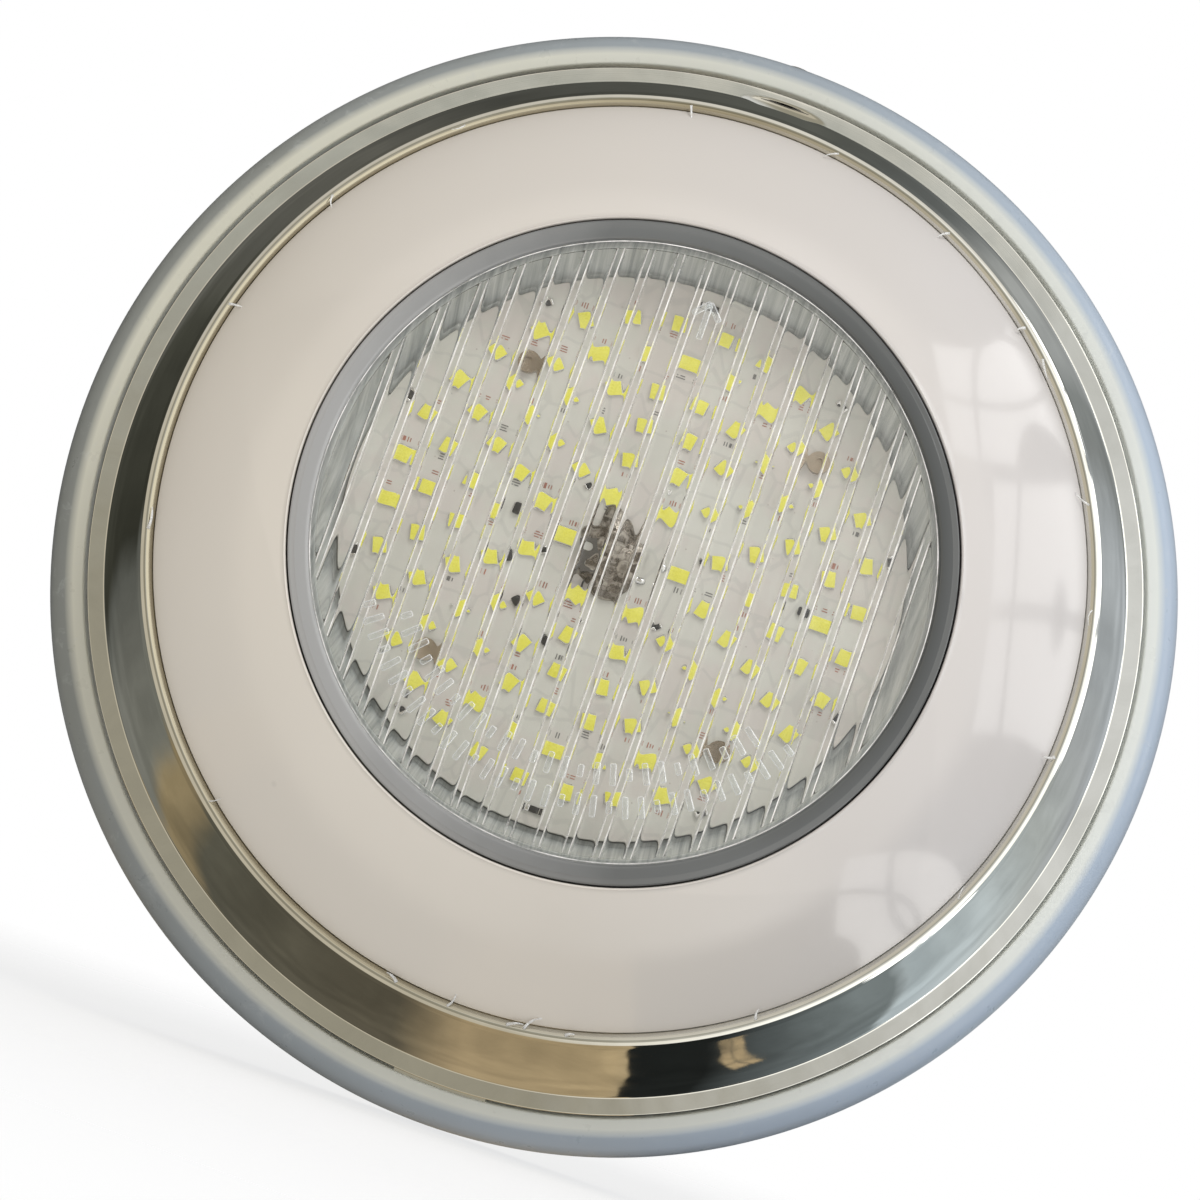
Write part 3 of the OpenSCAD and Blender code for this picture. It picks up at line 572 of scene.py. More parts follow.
def lathe_into(bm, profile, segments=SEGMENTS, centre=(0.0, 0.0)):
    """Turns a closed (r, z) outline round the light's axis, or round centre."""
    columns = []
    for r, z in profile:
        if r < 1e-6:
            columns.append([bm.verts.new(at(centre[0], centre[1], z))])
            continue
        turn = [2 * math.pi * k / segments for k in range(segments)]
        columns.append([bm.verts.new(at(centre[0] + r * math.cos(a), centre[1] + r * math.sin(a), z))
                        for a in turn])
    for i, here in enumerate(columns):
        after = columns[(i + 1) % len(columns)]
        if len(here) == 1 and len(after) == 1:
            continue
        for k in range(segments):
            m = (k + 1) % segments
            ring = [here[k % len(here)], after[k % len(after)], after[m % len(after)], here[m % len(here)]]
            corners = list(dict.fromkeys(ring))
            if len(corners) > 2:
                bm.faces.new(corners)


def lathe(name, profile, slot, segments=SEGMENTS, crease=34.0):
    bm = bmesh.new()
    lathe_into(bm, profile, segments)
    return new_piece(name, bm, slot, crease=crease)


def box_into(bm, size, matrix, material=0, bevel=0.0):
    """A box of size (x, y, z) mm, with rounded edges, placed by matrix in the frame's metres."""
    made = bmesh.ops.create_cube(bm, size=1.0)["verts"]
    bmesh.ops.transform(bm, matrix=matrix @ Matrix.Diagonal((*[s * MM for s in size], 1.0)), verts=made)
    faces = {f for v in made for f in v.link_faces}
    for face in faces:
        face.material_index = material
    if bevel:
        edges = {e for v in made for e in v.link_edges}
        rounded = bmesh.ops.bevel(bm, geom=list(edges), offset=bevel * MM, segments=2, profile=0.5,
                                  affect="EDGES")
        for face in rounded["faces"]:
            face.material_index = material


def stand(x, y, z, spin=0.0):
    """A matrix whose own x, y, z are the light's right, up and outward directions, turned by spin degrees."""
    upright = Matrix(((1, 0, 0, 0), (0, 0, -1, 0), (0, 1, 0, 0), (0, 0, 0, 1)))
    return Matrix.Translation(at(x, y, z)) @ upright @ Matrix.Rotation(math.radians(spin), 4, "Z")


def shift(x, y, z):
    """A move of x, y, z mm along a placed piece's own directions."""
    return Matrix.Translation(Vector((x, y, z)) * MM)


def on_board(r, degrees, lift=0.0, spin=0.0):
    """A matrix for a part that stands on the LED board."""
    a = math.radians(degrees)
    return stand(r * math.cos(a), r * math.sin(a), BOARD_TOP_Z + lift, degrees + spin)


def boolean(obj, cutter, operation):
    """Applies one exact boolean and removes the cutter."""
    modifier = obj.modifiers.new("cut", "BOOLEAN")
    modifier.operation = operation
    modifier.solver = "EXACT"
    modifier.object = cutter
    graph = bpy.context.evaluated_depsgraph_get()
    made = bpy.data.meshes.new_from_object(obj.evaluated_get(graph))
    obj.modifiers.clear()
    old = obj.data
    obj.data = made
    bpy.data.meshes.remove(old)
    bpy.data.objects.remove(cutter)


def scratch(bm):
    """A temporary object made from bm, for use as a cutter."""
    bmesh.ops.recalc_face_normals(bm, faces=bm.faces)
    mesh = bpy.data.meshes.new("cutter")
    bm.to_mesh(mesh)
    bm.free()
    obj = bpy.data.objects.new("cutter", mesh)
    bpy.context.scene.collection.objects.link(obj)
    return obj


def rods(places, segments=48):
    """Round cutters or bosses: each place is (x, y, radius, z0, z1) in mm."""
    bm = bmesh.new()
    for x, y, r, z0, z1 in places:
        lathe_into(bm, [(0, z0), (r, z0), (r, z1), (0, z1)], segments, (x, y))
    return scratch(bm)


def spread(count, r, start=0.0):
    turn = [math.radians(start + 360 * k / count) for k in range(count)]
    return [(r * math.cos(a), r * math.sin(a)) for a in turn]


# Where the screws are, as (x, y) in mm
WALL_SCREWS = spread(3, 95, 90)
WATER_HOLES = spread(6, 58)
RING_SCREWS = spread(6, 107, 30)
CLAMP_SCREWS = spread(3, 93.3, 90)
SHELL_SCREWS = spread(8, 83.5, 22.5)
BOARD_SCREWS = spread(4, 52, 45)


# ---- Wall base ------------------------------------------------------------------------------

RECESS_R = BASE_R - 10.3
PLATE_T = 3.0
LOCK_Z = 11.0
OUTLET_R = 104.0
BEND_R = 16.0
COIL_SWEEP = 400.0
BEND_TURN = math.degrees(BEND_R / OUTLET_R)
OUTLET_ANGLE = 540 - COIL_SWEEP - BEND_TURN


def across(places, direction):
    """Round cutters that lie along x or stand along y: each place is (a, b, z, radius, from, to) in mm."""
    bm = bmesh.new()
    for a, b, z, r, start, stop in places:
        local = bmesh.ops.create_cone(bm, cap_ends=True, segments=64, radius1=r * MM, radius2=r * MM,
                                      depth=(stop - start) * MM)["verts"]
        middle = (start + stop) / 2
        if direction == "x":
            move = Matrix.Translation(at(middle, b, z)) @ Matrix.Rotation(math.pi / 2, 4, "Y")
        else:
            move = Matrix.Translation(at(a, middle, z))
        bmesh.ops.transform(bm, matrix=move, verts=local)
    return scratch(bm)


def make_wall_base():
    bulge = [(BASE_R - 7 + 7 * math.cos(a), 8 + (RIM_Z - 8) * math.sin(a))
             for a in [math.pi / 2 * i / 28 for i in range(29)]]
    profile = ([(0, 0), (BASE_R - 2, 0)] + arc(BASE_R - 2, 2, 2, -90, 0, 6) + bulge
               + arc(RECESS_R + 0.6, RIM_Z - 0.6, 0.6, 90, 180, 5) + [(RECESS_R, PLATE_T), (0, PLATE_T)])
    base = lathe("wall_base_moulding", profile, "rim_plastic")
    holes = [(x, y, 3.25, -1, PLATE_T + 1) for x, y in WALL_SCREWS]
    holes += [(x, y, 4, -1, PLATE_T + 1) for x, y in WATER_HOLES]
    outlet = math.radians(OUTLET_ANGLE)
    holes.append((OUTLET_R * math.cos(outlet), OUTLET_R * math.sin(outlet), CABLE_R + 3.5, -1, PLATE_T + 1))
    boolean(base, rods(holes), "DIFFERENCE")
    boolean(base, across([(0, 0, LOCK_Z, 3.0, RECESS_R - 2, 140.7)], "y"), "DIFFERENCE")
    boolean(base, across([(0, 0, LOCK_Z, 4.6, 140.6, BASE_R + 3)], "y"), "DIFFERENCE")
    seat = across([(0, -RING_R, FLANGE_Z, 2.85, -12.5, 12.5)], "x")
    below = bmesh.new()
    box_into(below, (60, 12, 8), stand(0, -RING_R - 3, RIM_Z + 2.5))
    boolean(seat, scratch(below), "DIFFERENCE")
    boolean(base, seat, "DIFFERENCE")
    base.visible_glossy = False
    return stands_for(base, "wall_base")


def make_grommet():
    r = CABLE_R
    outlet = math.radians(OUTLET_ANGLE)
    profile = ([(r + 0.05, 0.3), (r + 3.4, 0.3), (r + 3.4, 3.05), (r + 5.5, 3.05), (r + 5.5, 4.0)]
               + arc(r + 4.7, 4.2, 0.8, 0, 90, 5) + [(r + 0.05, 5.0)])
    bm = bmesh.new()
    lathe_into(bm, profile, 72, (OUTLET_R * math.cos(outlet), OUTLET_R * math.sin(outlet)))
    return stands_for(new_piece("outlet_grommet", bm, "seal_rubber"), "cable_grommet")


# ---- Lock screw -----------------------------------------------------------------------------


def stand_up(bm, y, z):
    """Turns a shape made round the light's axis so that its own axis runs up the light from height y."""
    turn = Matrix.Rotation(math.radians(-90), 4, "X")
    bmesh.ops.transform(bm, matrix=Matrix.Translation(at(0, y, z)) @ turn, verts=bm.verts)


def make_lock_screw():
    """Shank with thread grooves, and a head with a rounded rim and a hexagonal socket."""
    low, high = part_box("lock_screw")
    y0, length = low.z / MM, (high.z - low.z) / MM
    shank, head_r = 1.98, 4.2
    head = length - 3.0
    profile = [(0, 0)]
    turns = int((head - 0.6) / 0.7)
    for i in range(turns):
        z = 0.1 + 0.7 * i
        profile += [(shank - 0.35, z), (shank, z + 0.3), (shank, z + 0.42)]
    profile += [(shank - 0.3, head - 0.3), (shank, head), (head_r, head)]
    profile += arc(head_r - 0.5, length - 0.5, 0.5, 0, 90, 6) + [(2.4, length), (2.1, length - 0.25)]
    profile += [(0, length - 0.25)]
    bm = bmesh.new()
    lathe_into(bm, profile, 96)
    stand_up(bm, y0, LOCK_Z)
    screw = new_piece("lock_screw_socket_head", bm, "screw_steel")
    socket = bmesh.new()
    bmesh.ops.create_cone(socket, cap_ends=True, segments=6, radius1=2 * MM, radius2=2 * MM, depth=4 * MM)
    place = Matrix.Translation(at(0, y0 + length + 0.2, LOCK_Z))
    bmesh.ops.transform(socket, matrix=place, verts=socket.verts)
    boolean(screw, scratch(socket), "DIFFERENCE")
    return stands_for(screw, "lock_screw")


def make_lock_washer():
    low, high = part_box("lock_washer")
    y0, t = low.z / MM, (high.z - low.z) / MM
    bm = bmesh.new()
    profile = [(2.05, 0), (3.8, 0)] + arc(3.8, t / 2, t / 2, -90, 90, 8) + [(2.05, t)]
    lathe_into(bm, [(min(r, 4.0), z) for r, z in profile], 72)
    stand_up(bm, y0, LOCK_Z)
    return stands_for(new_piece("lock_screw_washer", bm, "nylon"), "lock_washer")


# ---- Face ring ------------------------------------------------------------------------------

ROLL_R = 2.0
CREST_R = 115.0
EDGE_R = 0.3
CONE_FOOT = (RING_R - 4.6, FLANGE_Z + 1.1)
CONE_BEND = (CONE_FOOT[0] - 3.5, CONE_FOOT[1] + 14.1)
RECESS_W = 31.0
RECESS_IN = 6.5
DISH_R = RING_R - 4.7
DISH_HALF = (11.5, 2.7)
DISH_DEPTH = 0.8
DISH_BOW_R = (DISH_HALF[0] ** 2 + DISH_DEPTH ** 2) / (2 * DISH_DEPTH)
DISH_TUBE_R = (DISH_HALF[1] ** 2 + DISH_DEPTH ** 2) / (2 * DISH_DEPTH)


def soft_min(a, b, k):
    h = max(k - abs(a - b), 0.0) / k
    return min(a, b) - h * h * k / 4


def recess_ease(x):
    u = abs(x) / (RECESS_W / 2)
    if u >= 1:
        return 0.0
    return 0.5 + 0.5 * math.cos(math.pi * max(0.0, u - 0.35) / 0.65)


def dish_dip(x, y):
    """Depth of the boat-shaped finger dish at this place of the flat edge."""
    if abs(x) > DISH_HALF[0] or abs(y - DISH_R) > DISH_HALF[1]:
        return 0.0
    along = DISH_DEPTH - DISH_BOW_R + math.sqrt(DISH_BOW_R ** 2 - x * x)
    return max(0.0, along - DISH_TUBE_R + math.sqrt(DISH_TUBE_R ** 2 - (y - DISH_R) ** 2))


def ring_angles():
    """Turning steps of the face ring, fine round the finger recess at the top."""
    fine = [82 + 0.16 * i for i in range(101)]
    return fine + [98.5 + 343.0 * i / 280 for i in range(280)]


def ring_column(angle):
    """One section of the visible steel at this angle, from the back of the skirt to the inner flange."""
    x_here, y_here = math.cos(math.radians(angle)), math.sin(math.radians(angle))
    top = y_here > 0
    depth = RECESS_IN * recess_ease(x_here * 130) if top else 0.0
    foot_r, foot_z = CONE_FOOT
    bend_r, bend_z = CONE_BEND
    slope = (CREST_R + ROLL_R - bend_r, CREST_Z - ROLL_R - bend_z)
    lean = math.degrees(math.atan2(-slope[0], slope[1]))
    end = arc(CREST_R, CREST_Z - ROLL_R, ROLL_R, lean, lean, 1)[0]
    foot = soft_min(foot_r, foot_r + 1 - depth, 1.0) if depth else foot_r
    points = [(RING_R, SKIRT_Z)] + arc(RING_R - EDGE_R, FLANGE_Z - EDGE_R, EDGE_R, 0, 90, 5)
    inner = foot + 0.5
    for i in range(1, 29):
        r = RING_R - EDGE_R + (inner - RING_R + EDGE_R) * i / 28
        dip = dish_dip(x_here * r, y_here * r) if top else 0.0
        points.append((r, FLANGE_Z - dip))
    points += [(foot + 0.22, FLANGE_Z + 0.07), (foot + 0.07, FLANGE_Z + 0.25)]
    for i in range(41):
        z = foot_z + (end[1] - foot_z) * i / 40
        lower = foot_r + (bend_r - foot_r) * (z - foot_z) / (bend_z - foot_z)
        upper = bend_r + (end[0] - bend_r) * (z - bend_z) / (end[1] - bend_z)
        r = soft_min(lower, upper, 1.6)
        points.append((soft_min(r, foot, 1.2) if depth else r, z))
    points += arc(CREST_R, CREST_Z - ROLL_R, ROLL_R, lean, 180, 16)[1:]
    points += [(CREST_R - ROLL_R, 51.0), (103.0, 51.0)]
    return points


def make_face_ring():
    bm = bmesh.new()
    columns = []
    for angle in ring_angles():
        columns.append([bm.verts.new(polar(r, angle, z)) for r, z in ring_column(angle)])
    for here, after in zip(columns, columns[1:] + columns[:1]):
        for i in range(len(here) - 1):
            bm.faces.new([here[i], after[i], after[i + 1], here[i + 1]])
    ring = new_piece("polished_face_ring", bm, "polished_steel", crease=50)
    skin = ring.modifiers.new("sheet", "SOLIDIFY")
    skin.thickness = SHEET_T * MM
    skin.offset = -1
    graph = bpy.context.evaluated_depsgraph_get()
    made = bpy.data.meshes.new_from_object(ring.evaluated_get(graph))
    ring.modifiers.clear()
    ring.data = made
    holes = rods([(x, y, 1.8, 48, 53) for x, y in RING_SCREWS])
    boolean(ring, holes, "DIFFERENCE")
    ring.visible_glossy = False
    return stands_for(ring, "face_ring")


# Where scraps of film hang on, in degrees round the crest
SCRAPS = (101, 64, 52, 48, 131, 149, 166, 197, 231, 262, 271, 276, 280, 284, 305, 333, 352, 14, 28, 84)


def make_torn_film():
    """Scraps of protective film left along the edge between the steel and the dome."""
    rng = random.Random(11)
    bm = bmesh.new()
    for degrees in SCRAPS:
        a = math.radians(degrees + rng.uniform(-3, 3))
        heading = rng.uniform(-1.2, 1.2)
        length = rng.uniform(2.2, 5.4)
        width = rng.uniform(0.35, 0.95)
        curl = rng.uniform(-0.5, 0.5)
        point = Vector((114.4 * math.cos(a), 114.4 * math.sin(a), CREST_Z + 0.068))
        inward = Vector((-math.cos(a), -math.sin(a), 0))
        side = Vector((-inward.y, inward.x, 0))
        last = None
        for i in range(8):
            t = i / 7
            turn = heading + curl * i * 0.4
            step = inward * math.cos(turn) + side * math.sin(turn)
            across_step = Vector((-step.y, step.x, 0)) * width * (1 - 0.7 * t)
            lift = Vector((0, 0, 0.9 * math.sin(t * 2.2)))
            pair = [bm.verts.new(at(*(point + lift + across_step / 2))),
                    bm.verts.new(at(*(point + lift - across_step / 2)))]
            if last:
                bm.faces.new([last[0], last[1], pair[1], pair[0]])
            last = pair
            point = point + step * length / 7
    film = new_piece("torn_protective_film", bm, "clear_lens", [FILM])
    skin = film.modifiers.new("film", "SOLIDIFY")
    skin.thickness = 0.05 * MM
    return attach(film, "head")


# ---- Dome -----------------------------------------------------------------------------------

DOME_OUT_R = CREST_R - ROLL_R - 0.05
DOME_IN_R = outer_r("bezel_ring") - 9.5
DOME_CROWN = 2.6
DOME_T = 2.2
DOME_FOOT_Z = 51.05
LAMP_SEAT_Z = 66.5


def crown(p, q, height, steps):
    """Points on an arc through p and q that rises height above their chord."""
    p, q = Vector(p), Vector(q)
    half_chord = (q - p).length / 2
    r = (half_chord ** 2 + height ** 2) / (2 * height)
    along = (q - p).normalized()
    up = Vector((along.y, -along.x))
    if up.y < 0:
        up = -up
    half = math.asin(half_chord / r)
    turn = [-half + 2 * half * i / steps for i in range(steps + 1)]
    middle = (p + q) / 2
    return [tuple(middle + along * r * math.sin(a) + up * (r * math.cos(a) - (r - height))) for a in turn]


def make_dome():
    top = crown((DOME_OUT_R, CREST_Z - 1.1), (DOME_IN_R, DOME_Z), DOME_CROWN, 48)
    lip = arc(DOME_IN_R + 0.5, DOME_Z - 0.5, 0.5, 90, 180, 4)
    top = [p for p in top if p[0] > DOME_IN_R + 0.6] + lip
    under = [(r - 0.55 * DOME_T, z - 0.9 * DOME_T) for r, z in top
             if DOME_IN_R + DOME_T + 1.4 < r < DOME_OUT_R - 1.2]
    seat = [(DOME_IN_R, LAMP_SEAT_Z), (97.6, LAMP_SEAT_Z), (97.6, LAMP_SEAT_Z + 2)]
    profile = ([(DOME_OUT_R, DOME_FOOT_Z)] + top + seat + [(DOME_IN_R + DOME_T, LAMP_SEAT_Z + 2)]
               + under[::-1] + [(DOME_OUT_R - DOME_T, 56.0), (DOME_OUT_R - DOME_T, DOME_FOOT_Z)])
    dome = lathe("white_dome_cover", profile, "dome_plastic")
    bosses = [(x, y, 3.2, DOME_FOOT_Z, 59.6) for x, y in RING_SCREWS]
    bosses += [(x, y, 4.0, 59.3, 67.5) for x, y in CLAMP_SCREWS]
    boolean(dome, rods(bosses), "UNION")
    holes = [(x, y, 1.42, 49, 59.2) for x, y in RING_SCREWS]
    holes += [(x, y, 1.82, 57, 67.4) for x, y in CLAMP_SCREWS]
    boolean(dome, rods(holes), "DIFFERENCE")
    return stands_for(dome, "dome_cover")


# ---- Lamp: bezel, lens, cup -----------------------------------------------------------------

BEZEL_R = 79.0
BEZEL_OPEN_R = 74.0
RIM_TOP = LENS_BACK_Z + 2.6


def make_bezel():
    """The lamp's grey ring: a flat land with a rounded inner lip and a stepped outer bevel."""
    profile = ([(76.6, BEZEL_BACK_Z), (BEZEL_FLANGE_R, BEZEL_BACK_Z), (BEZEL_FLANGE_R, 65.3), (BEZEL_R, 65.3),
                (BEZEL_R, BEZEL_Z - 1.1)]
               + arc(BEZEL_R - 0.7, BEZEL_Z - 1.0, 0.7, 0, 78, 6)
               + [(BEZEL_R - 1.2, BEZEL_Z - 0.22)] + arc(BEZEL_R - 1.75, BEZEL_Z - 0.3, 0.3, 60, 90, 3)
               + arc(BEZEL_OPEN_R + 1.0, BEZEL_Z - 1.0, 1.0, 90, 180, 8)
               + [(BEZEL_OPEN_R, RIM_TOP + 0.8), (76.6, RIM_TOP + 0.8)])
    bezel = lathe("lamp_bezel_ring", profile, "bezel_plastic", crease=28)
    boolean(bezel, rods([(x, y, 1.22, 60, 64.7) for x, y in SHELL_SCREWS]), "DIFFERENCE")
    return stands_for(bezel, "bezel_ring")


LENS_EDGE_R = BEZEL_OPEN_R - 0.1
LENS_CROWN = LENS_TOP_Z - DOME_Z
LENS_BALL_R = (LENS_EDGE_R ** 2 + LENS_CROWN ** 2) / (2 * LENS_CROWN)
LENS_BALL_Z = LENS_TOP_Z - LENS_BALL_R
LENS_T = 3.4
LENS_HOLLOW_R = 72.4
FLUTE_PITCH = 7.0
FLUTE_BULGE = 0.34
FLUTE_POWER = 7
RIB_DEPTH = 0.5
RIB_FOOT = 0.73
RIB_EDGE = (0.77, 0.835)


def lens_outside(x, y):
    return LENS_BALL_Z + math.sqrt(LENS_BALL_R ** 2 - x * x - y * y)


def lens_inside(x, y):
    """Height of the fluted inner face: flat flutes with rolled sides, between narrow upright ribs."""
    u = abs((x / FLUTE_PITCH + 0.5) % 1.0 - 0.5) * 2
    bulge = FLUTE_BULGE * max(0.0, 1 - (u / RIB_FOOT) ** FLUTE_POWER)
    rib = RIB_DEPTH * min(1.0, max(0.0, (u - RIB_FOOT) / (RIB_EDGE[0] - RIB_FOOT)))
    ball = LENS_BALL_R - LENS_T
    return LENS_BALL_Z + math.sqrt(ball ** 2 - x * x - y * y) - bulge - rib


def lens_columns():
    """Upright rows of points across the lens, closest at the ribs and at the two ends."""
    shares = [0.0, 0.2, 0.36, 0.45, 0.52, 0.57, 0.62, 0.66, 0.70, RIB_FOOT, *RIB_EDGE, 1.0]
    shares = sorted({-s for s in shares} | set(shares))
    xs = set()
    for i in range(-11, 12):
        xs |= {round((i + s / 2) * FLUTE_PITCH, 4) for s in shares}
    ends = {round(side * LENS_HOLLOW_R * math.cos(math.radians(d)), 4)
            for d in (1.2, 3, 5, 7.5, 10, 13, 16) for side in (-1, 1)}
    limit = max(ends)
    return sorted({x for x in xs if abs(x) < limit} | ends)


def make_lens():
    bm = bmesh.new()
    xs, rows = lens_columns(), 72
    grid = []
    for x in xs:
        half = math.sqrt(LENS_HOLLOW_R ** 2 - x * x)
        ys = [half * math.sin(math.pi / 2 * (2 * k / rows - 1)) for k in range(rows + 1)]
        grid.append([bm.verts.new(at(x, y, lens_inside(x, y))) for y in ys])
    highlight_faces, faint = set(), set()
    for i in range(len(xs) - 1):
        middle = (xs[i] + xs[i + 1]) / 2
        offset = ((middle / FLUTE_PITCH + 0.5) % 1.0 - 0.5) * 2
        for k in range(rows):
            face = bm.faces.new([grid[i][k], grid[i + 1][k], grid[i + 1][k + 1], grid[i][k + 1]])
            # Faces on one edge of each rib take the painted highlight; faces on the other edge take the
            # fainter painted highlight.
            if RIB_EDGE[0] < abs(offset) < RIB_EDGE[1]:
                (highlight_faces if offset < 0 else faint).add(face)
    edge = [column[0] for column in grid] + grid[-1][1:-1]
    edge += [column[-1] for column in reversed(grid)] + grid[0][-2:0:-1]
    turns = [math.atan2(v.co.z, v.co.x) for v in edge]
    last = edge
    outline = [(LENS_HOLLOW_R, LENS_BACK_Z), (LENS_R, LENS_BACK_Z), (LENS_R, RIM_TOP), (LENS_EDGE_R, RIM_TOP)]
    cap = [LENS_EDGE_R * math.cos(math.pi / 2 * i / 40) for i in range(40)]
    outline += [(r, lens_outside(r, 0)) for r in cap]
    for r, z in outline:
        ring = [bm.verts.new(at(r * math.cos(a), r * math.sin(a), z)) for a in turns]
        for k in range(len(ring)):
            m = (k + 1) % len(ring)
            face = bm.faces.new([last[k], last[m], ring[m], ring[k]])
            # A thin band round the lens's rim takes the painted highlight too.
            if z > RIM_TOP and r > LENS_EDGE_R - 0.3:
                highlight_faces.add(face)
        last = ring
    tip = bm.verts.new(at(0, 0, LENS_TOP_Z))
    for k in range(len(last)):
        bm.faces.new([last[k], last[(k + 1) % len(last)], tip])
    for share, faces in ((1, highlight_faces), (2, faint)):
        for face in faces:
            face.material_index = share
    materials = [MATERIALS["clear_lens"], RIB_HIGHLIGHT, FAINT_RIB_HIGHLIGHT]
    return stands_for(new_piece("fluted_lens", bm, "clear_lens", materials, crease=20), "lens")


def on_lens(r, degrees):
    """A matrix on the lens's outer face, tilted with it, with its own x pointing outward from the middle."""
    a = math.radians(degrees)
    x, y = r * math.cos(a), r * math.sin(a)
    lean = Matrix.Rotation(-math.asin(r / LENS_BALL_R), 4, Vector((-math.sin(a), math.cos(a), 0)))
    flat = stand(x, y, lens_outside(x, y))
    return flat @ lean.inverted() @ Matrix.Rotation(a, 4, "Z")


def make_lens_marks():
    """Raised clear marks: an arrow to the top, and two plain rows of bars along the bottom."""
    bm = bmesh.new()
    stroke, height = 1.5, 0.9
    box_into(bm, (9, stroke, height), on_lens(57, 90), bevel=0.4)
    for side in (-1, 1):
        tip = on_lens(60.2, 90) @ shift(-0.2, side * 1.6, 0)
        slant = Matrix.Rotation(side * math.radians(-42), 4, "Z")
        box_into(bm, (5.2, stroke, height), tip @ slant, bevel=0.4)
    for r, first, last, count in ((61.0, -148, -32, 34), (53.4, -143, -37, 27)):
        for k in range(count):
            degrees = first + (last - first) * k / (count - 1)
            length = 5.2 if k % 3 else 3.0
            box_into(bm, (length, stroke, height), on_lens(r, degrees), bevel=0.4)
    marks = new_piece("lens_raised_marks", bm, "clear_lens", [MARK], crease=60)
    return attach(marks, "head")


def make_cup():
    foot, rim = depths("reflector_cup")
    r = LENS_R - 0.1
    profile = [(BOARD_R + 0.3, foot), (r, foot), (r, foot + 1), (70.6, foot + 1), (73.6, rim - 1),
               (r, rim - 1), (r, rim), (72.9, rim)] + arc(73.0, rim - 0.5, 0.5, 100, 170, 4)
    profile += [(69.6, foot + 1.7), (69.2, foot + 1.2), (BOARD_R + 0.3, foot + 0.9)]
    return stands_for(lathe("reflector_cup_wall", profile, "cup_plastic", crease=28), "reflector_cup")


# ---- Light source ---------------------------------------------------------------------------

LED_RING_R = 14.5
LED_RING_STEP = 8.7
LED_COUNTS = [6, 12, 18, 24, 28, 32]
LED_SIZE = (3.9, 3.5, 0.8)


def make_board():
    z0 = depths("led_board")[0]
    edge = 0.15
    profile = [(0, z0), (BOARD_R, z0), (BOARD_R, BOARD_TOP_Z - edge), (BOARD_R - edge, BOARD_TOP_Z),
               (0, BOARD_TOP_Z)]
    board = lathe("led_board_disc", profile, "led_board_white")
    holes = [(x, y, 1.6, z0 - 1, BOARD_TOP_Z + 1) for x, y in BOARD_SCREWS]
    holes.append((0, 0, 4.5, z0 - 1, BOARD_TOP_Z + 1))
    boolean(board, rods(holes), "DIFFERENCE")
    return stands_for(board, "led_board")


def led_places():
    """(radius, angle, spin) of every LED, ring by ring."""
    for i, count in enumerate(LED_COUNTS):
        for k in range(count):
            yield LED_RING_R + i * LED_RING_STEP, 360 * (k + 0.5 * (i % 2)) / count, 90 * (k % 2)


def make_leds():
    """Each LED is a pale package with a raised pool of yellow gel and two solder tabs."""
    bm = bmesh.new()
    l, w, h = LED_SIZE
    for r, degrees, spin in led_places():
        here = on_board(r, degrees, 0.02, spin)
        box_into(bm, (l, w, h - 0.12), here @ shift(0, 0, (h - 0.12) / 2), 0, 0.1)
        box_into(bm, (l - 0.16, w - 0.16, 0.2), here @ shift(0, 0, h - 0.10), 1, 0.07)
        for side in (-1, 1):
            box_into(bm, (0.35, w * 0.7, 0.2), here @ shift(side * (l / 2 + 0.05), 0, 0.1), 2)
    leds = new_piece("led_array", bm, "led_phosphor", [LED_BODY, MATERIALS["led_phosphor"], SOLDER])
    return stands_for(leds, "leds")


def chip_into(bm, here, size, cap_share):
    """A chip resistor: a dark body between two bright end caps."""
    l, w, h = size
    cap = l * cap_share
    box_into(bm, (l - 2 * cap, w * 0.96, h * 0.94), here @ shift(0, 0, h / 2), 0, 0.05)
    for side in (-1, 1):
        box_into(bm, (cap, w, h), here @ shift(side * (l - cap) / 2, 0, h / 2), 1, 0.08)


def make_resistors():
    bm = bmesh.new()
    for k in range(10):
        chip_into(bm, on_board(64, 18 + 36 * k, 0.02, 90), (3.2, 1.6, 0.6), 0.18)
    for k in range(6):
        chip_into(bm, on_board(18.9, 15 + 60 * k, 0.02, 90), (2.0, 1.2, 0.5), 0.2)
    pieces = new_piece("chip_resistors", bm, "component_black", [MATERIALS["component_black"], SOLDER])
    return stands_for(pieces, "resistors")


def make_driver_chips():
    """Moulded packages with three small legs on each side."""
    bm = bmesh.new()
    places = [(27.5, 175 + 24 * k, 90) for k in range(4)] + [(45, 2, 0)]
    for r, degrees, spin in places:
        here = on_board(r, degrees, 0.02, spin)
        box_into(bm, (2.9, 2.2, 1.0), here @ shift(0, 0, 0.58), 0, 0.45)
        for side in (-1, 1):
            for leg in (-1, 0, 1):
                box_into(bm, (0.4, 0.5, 0.22), here @ shift(leg * 0.95, side * 1.15, 0.12), 1)
    chips = new_piece("driver_chip_packages", bm, "component_black", [MATERIALS["component_black"], SOLDER])
    return stands_for(chips, "driver_chips")


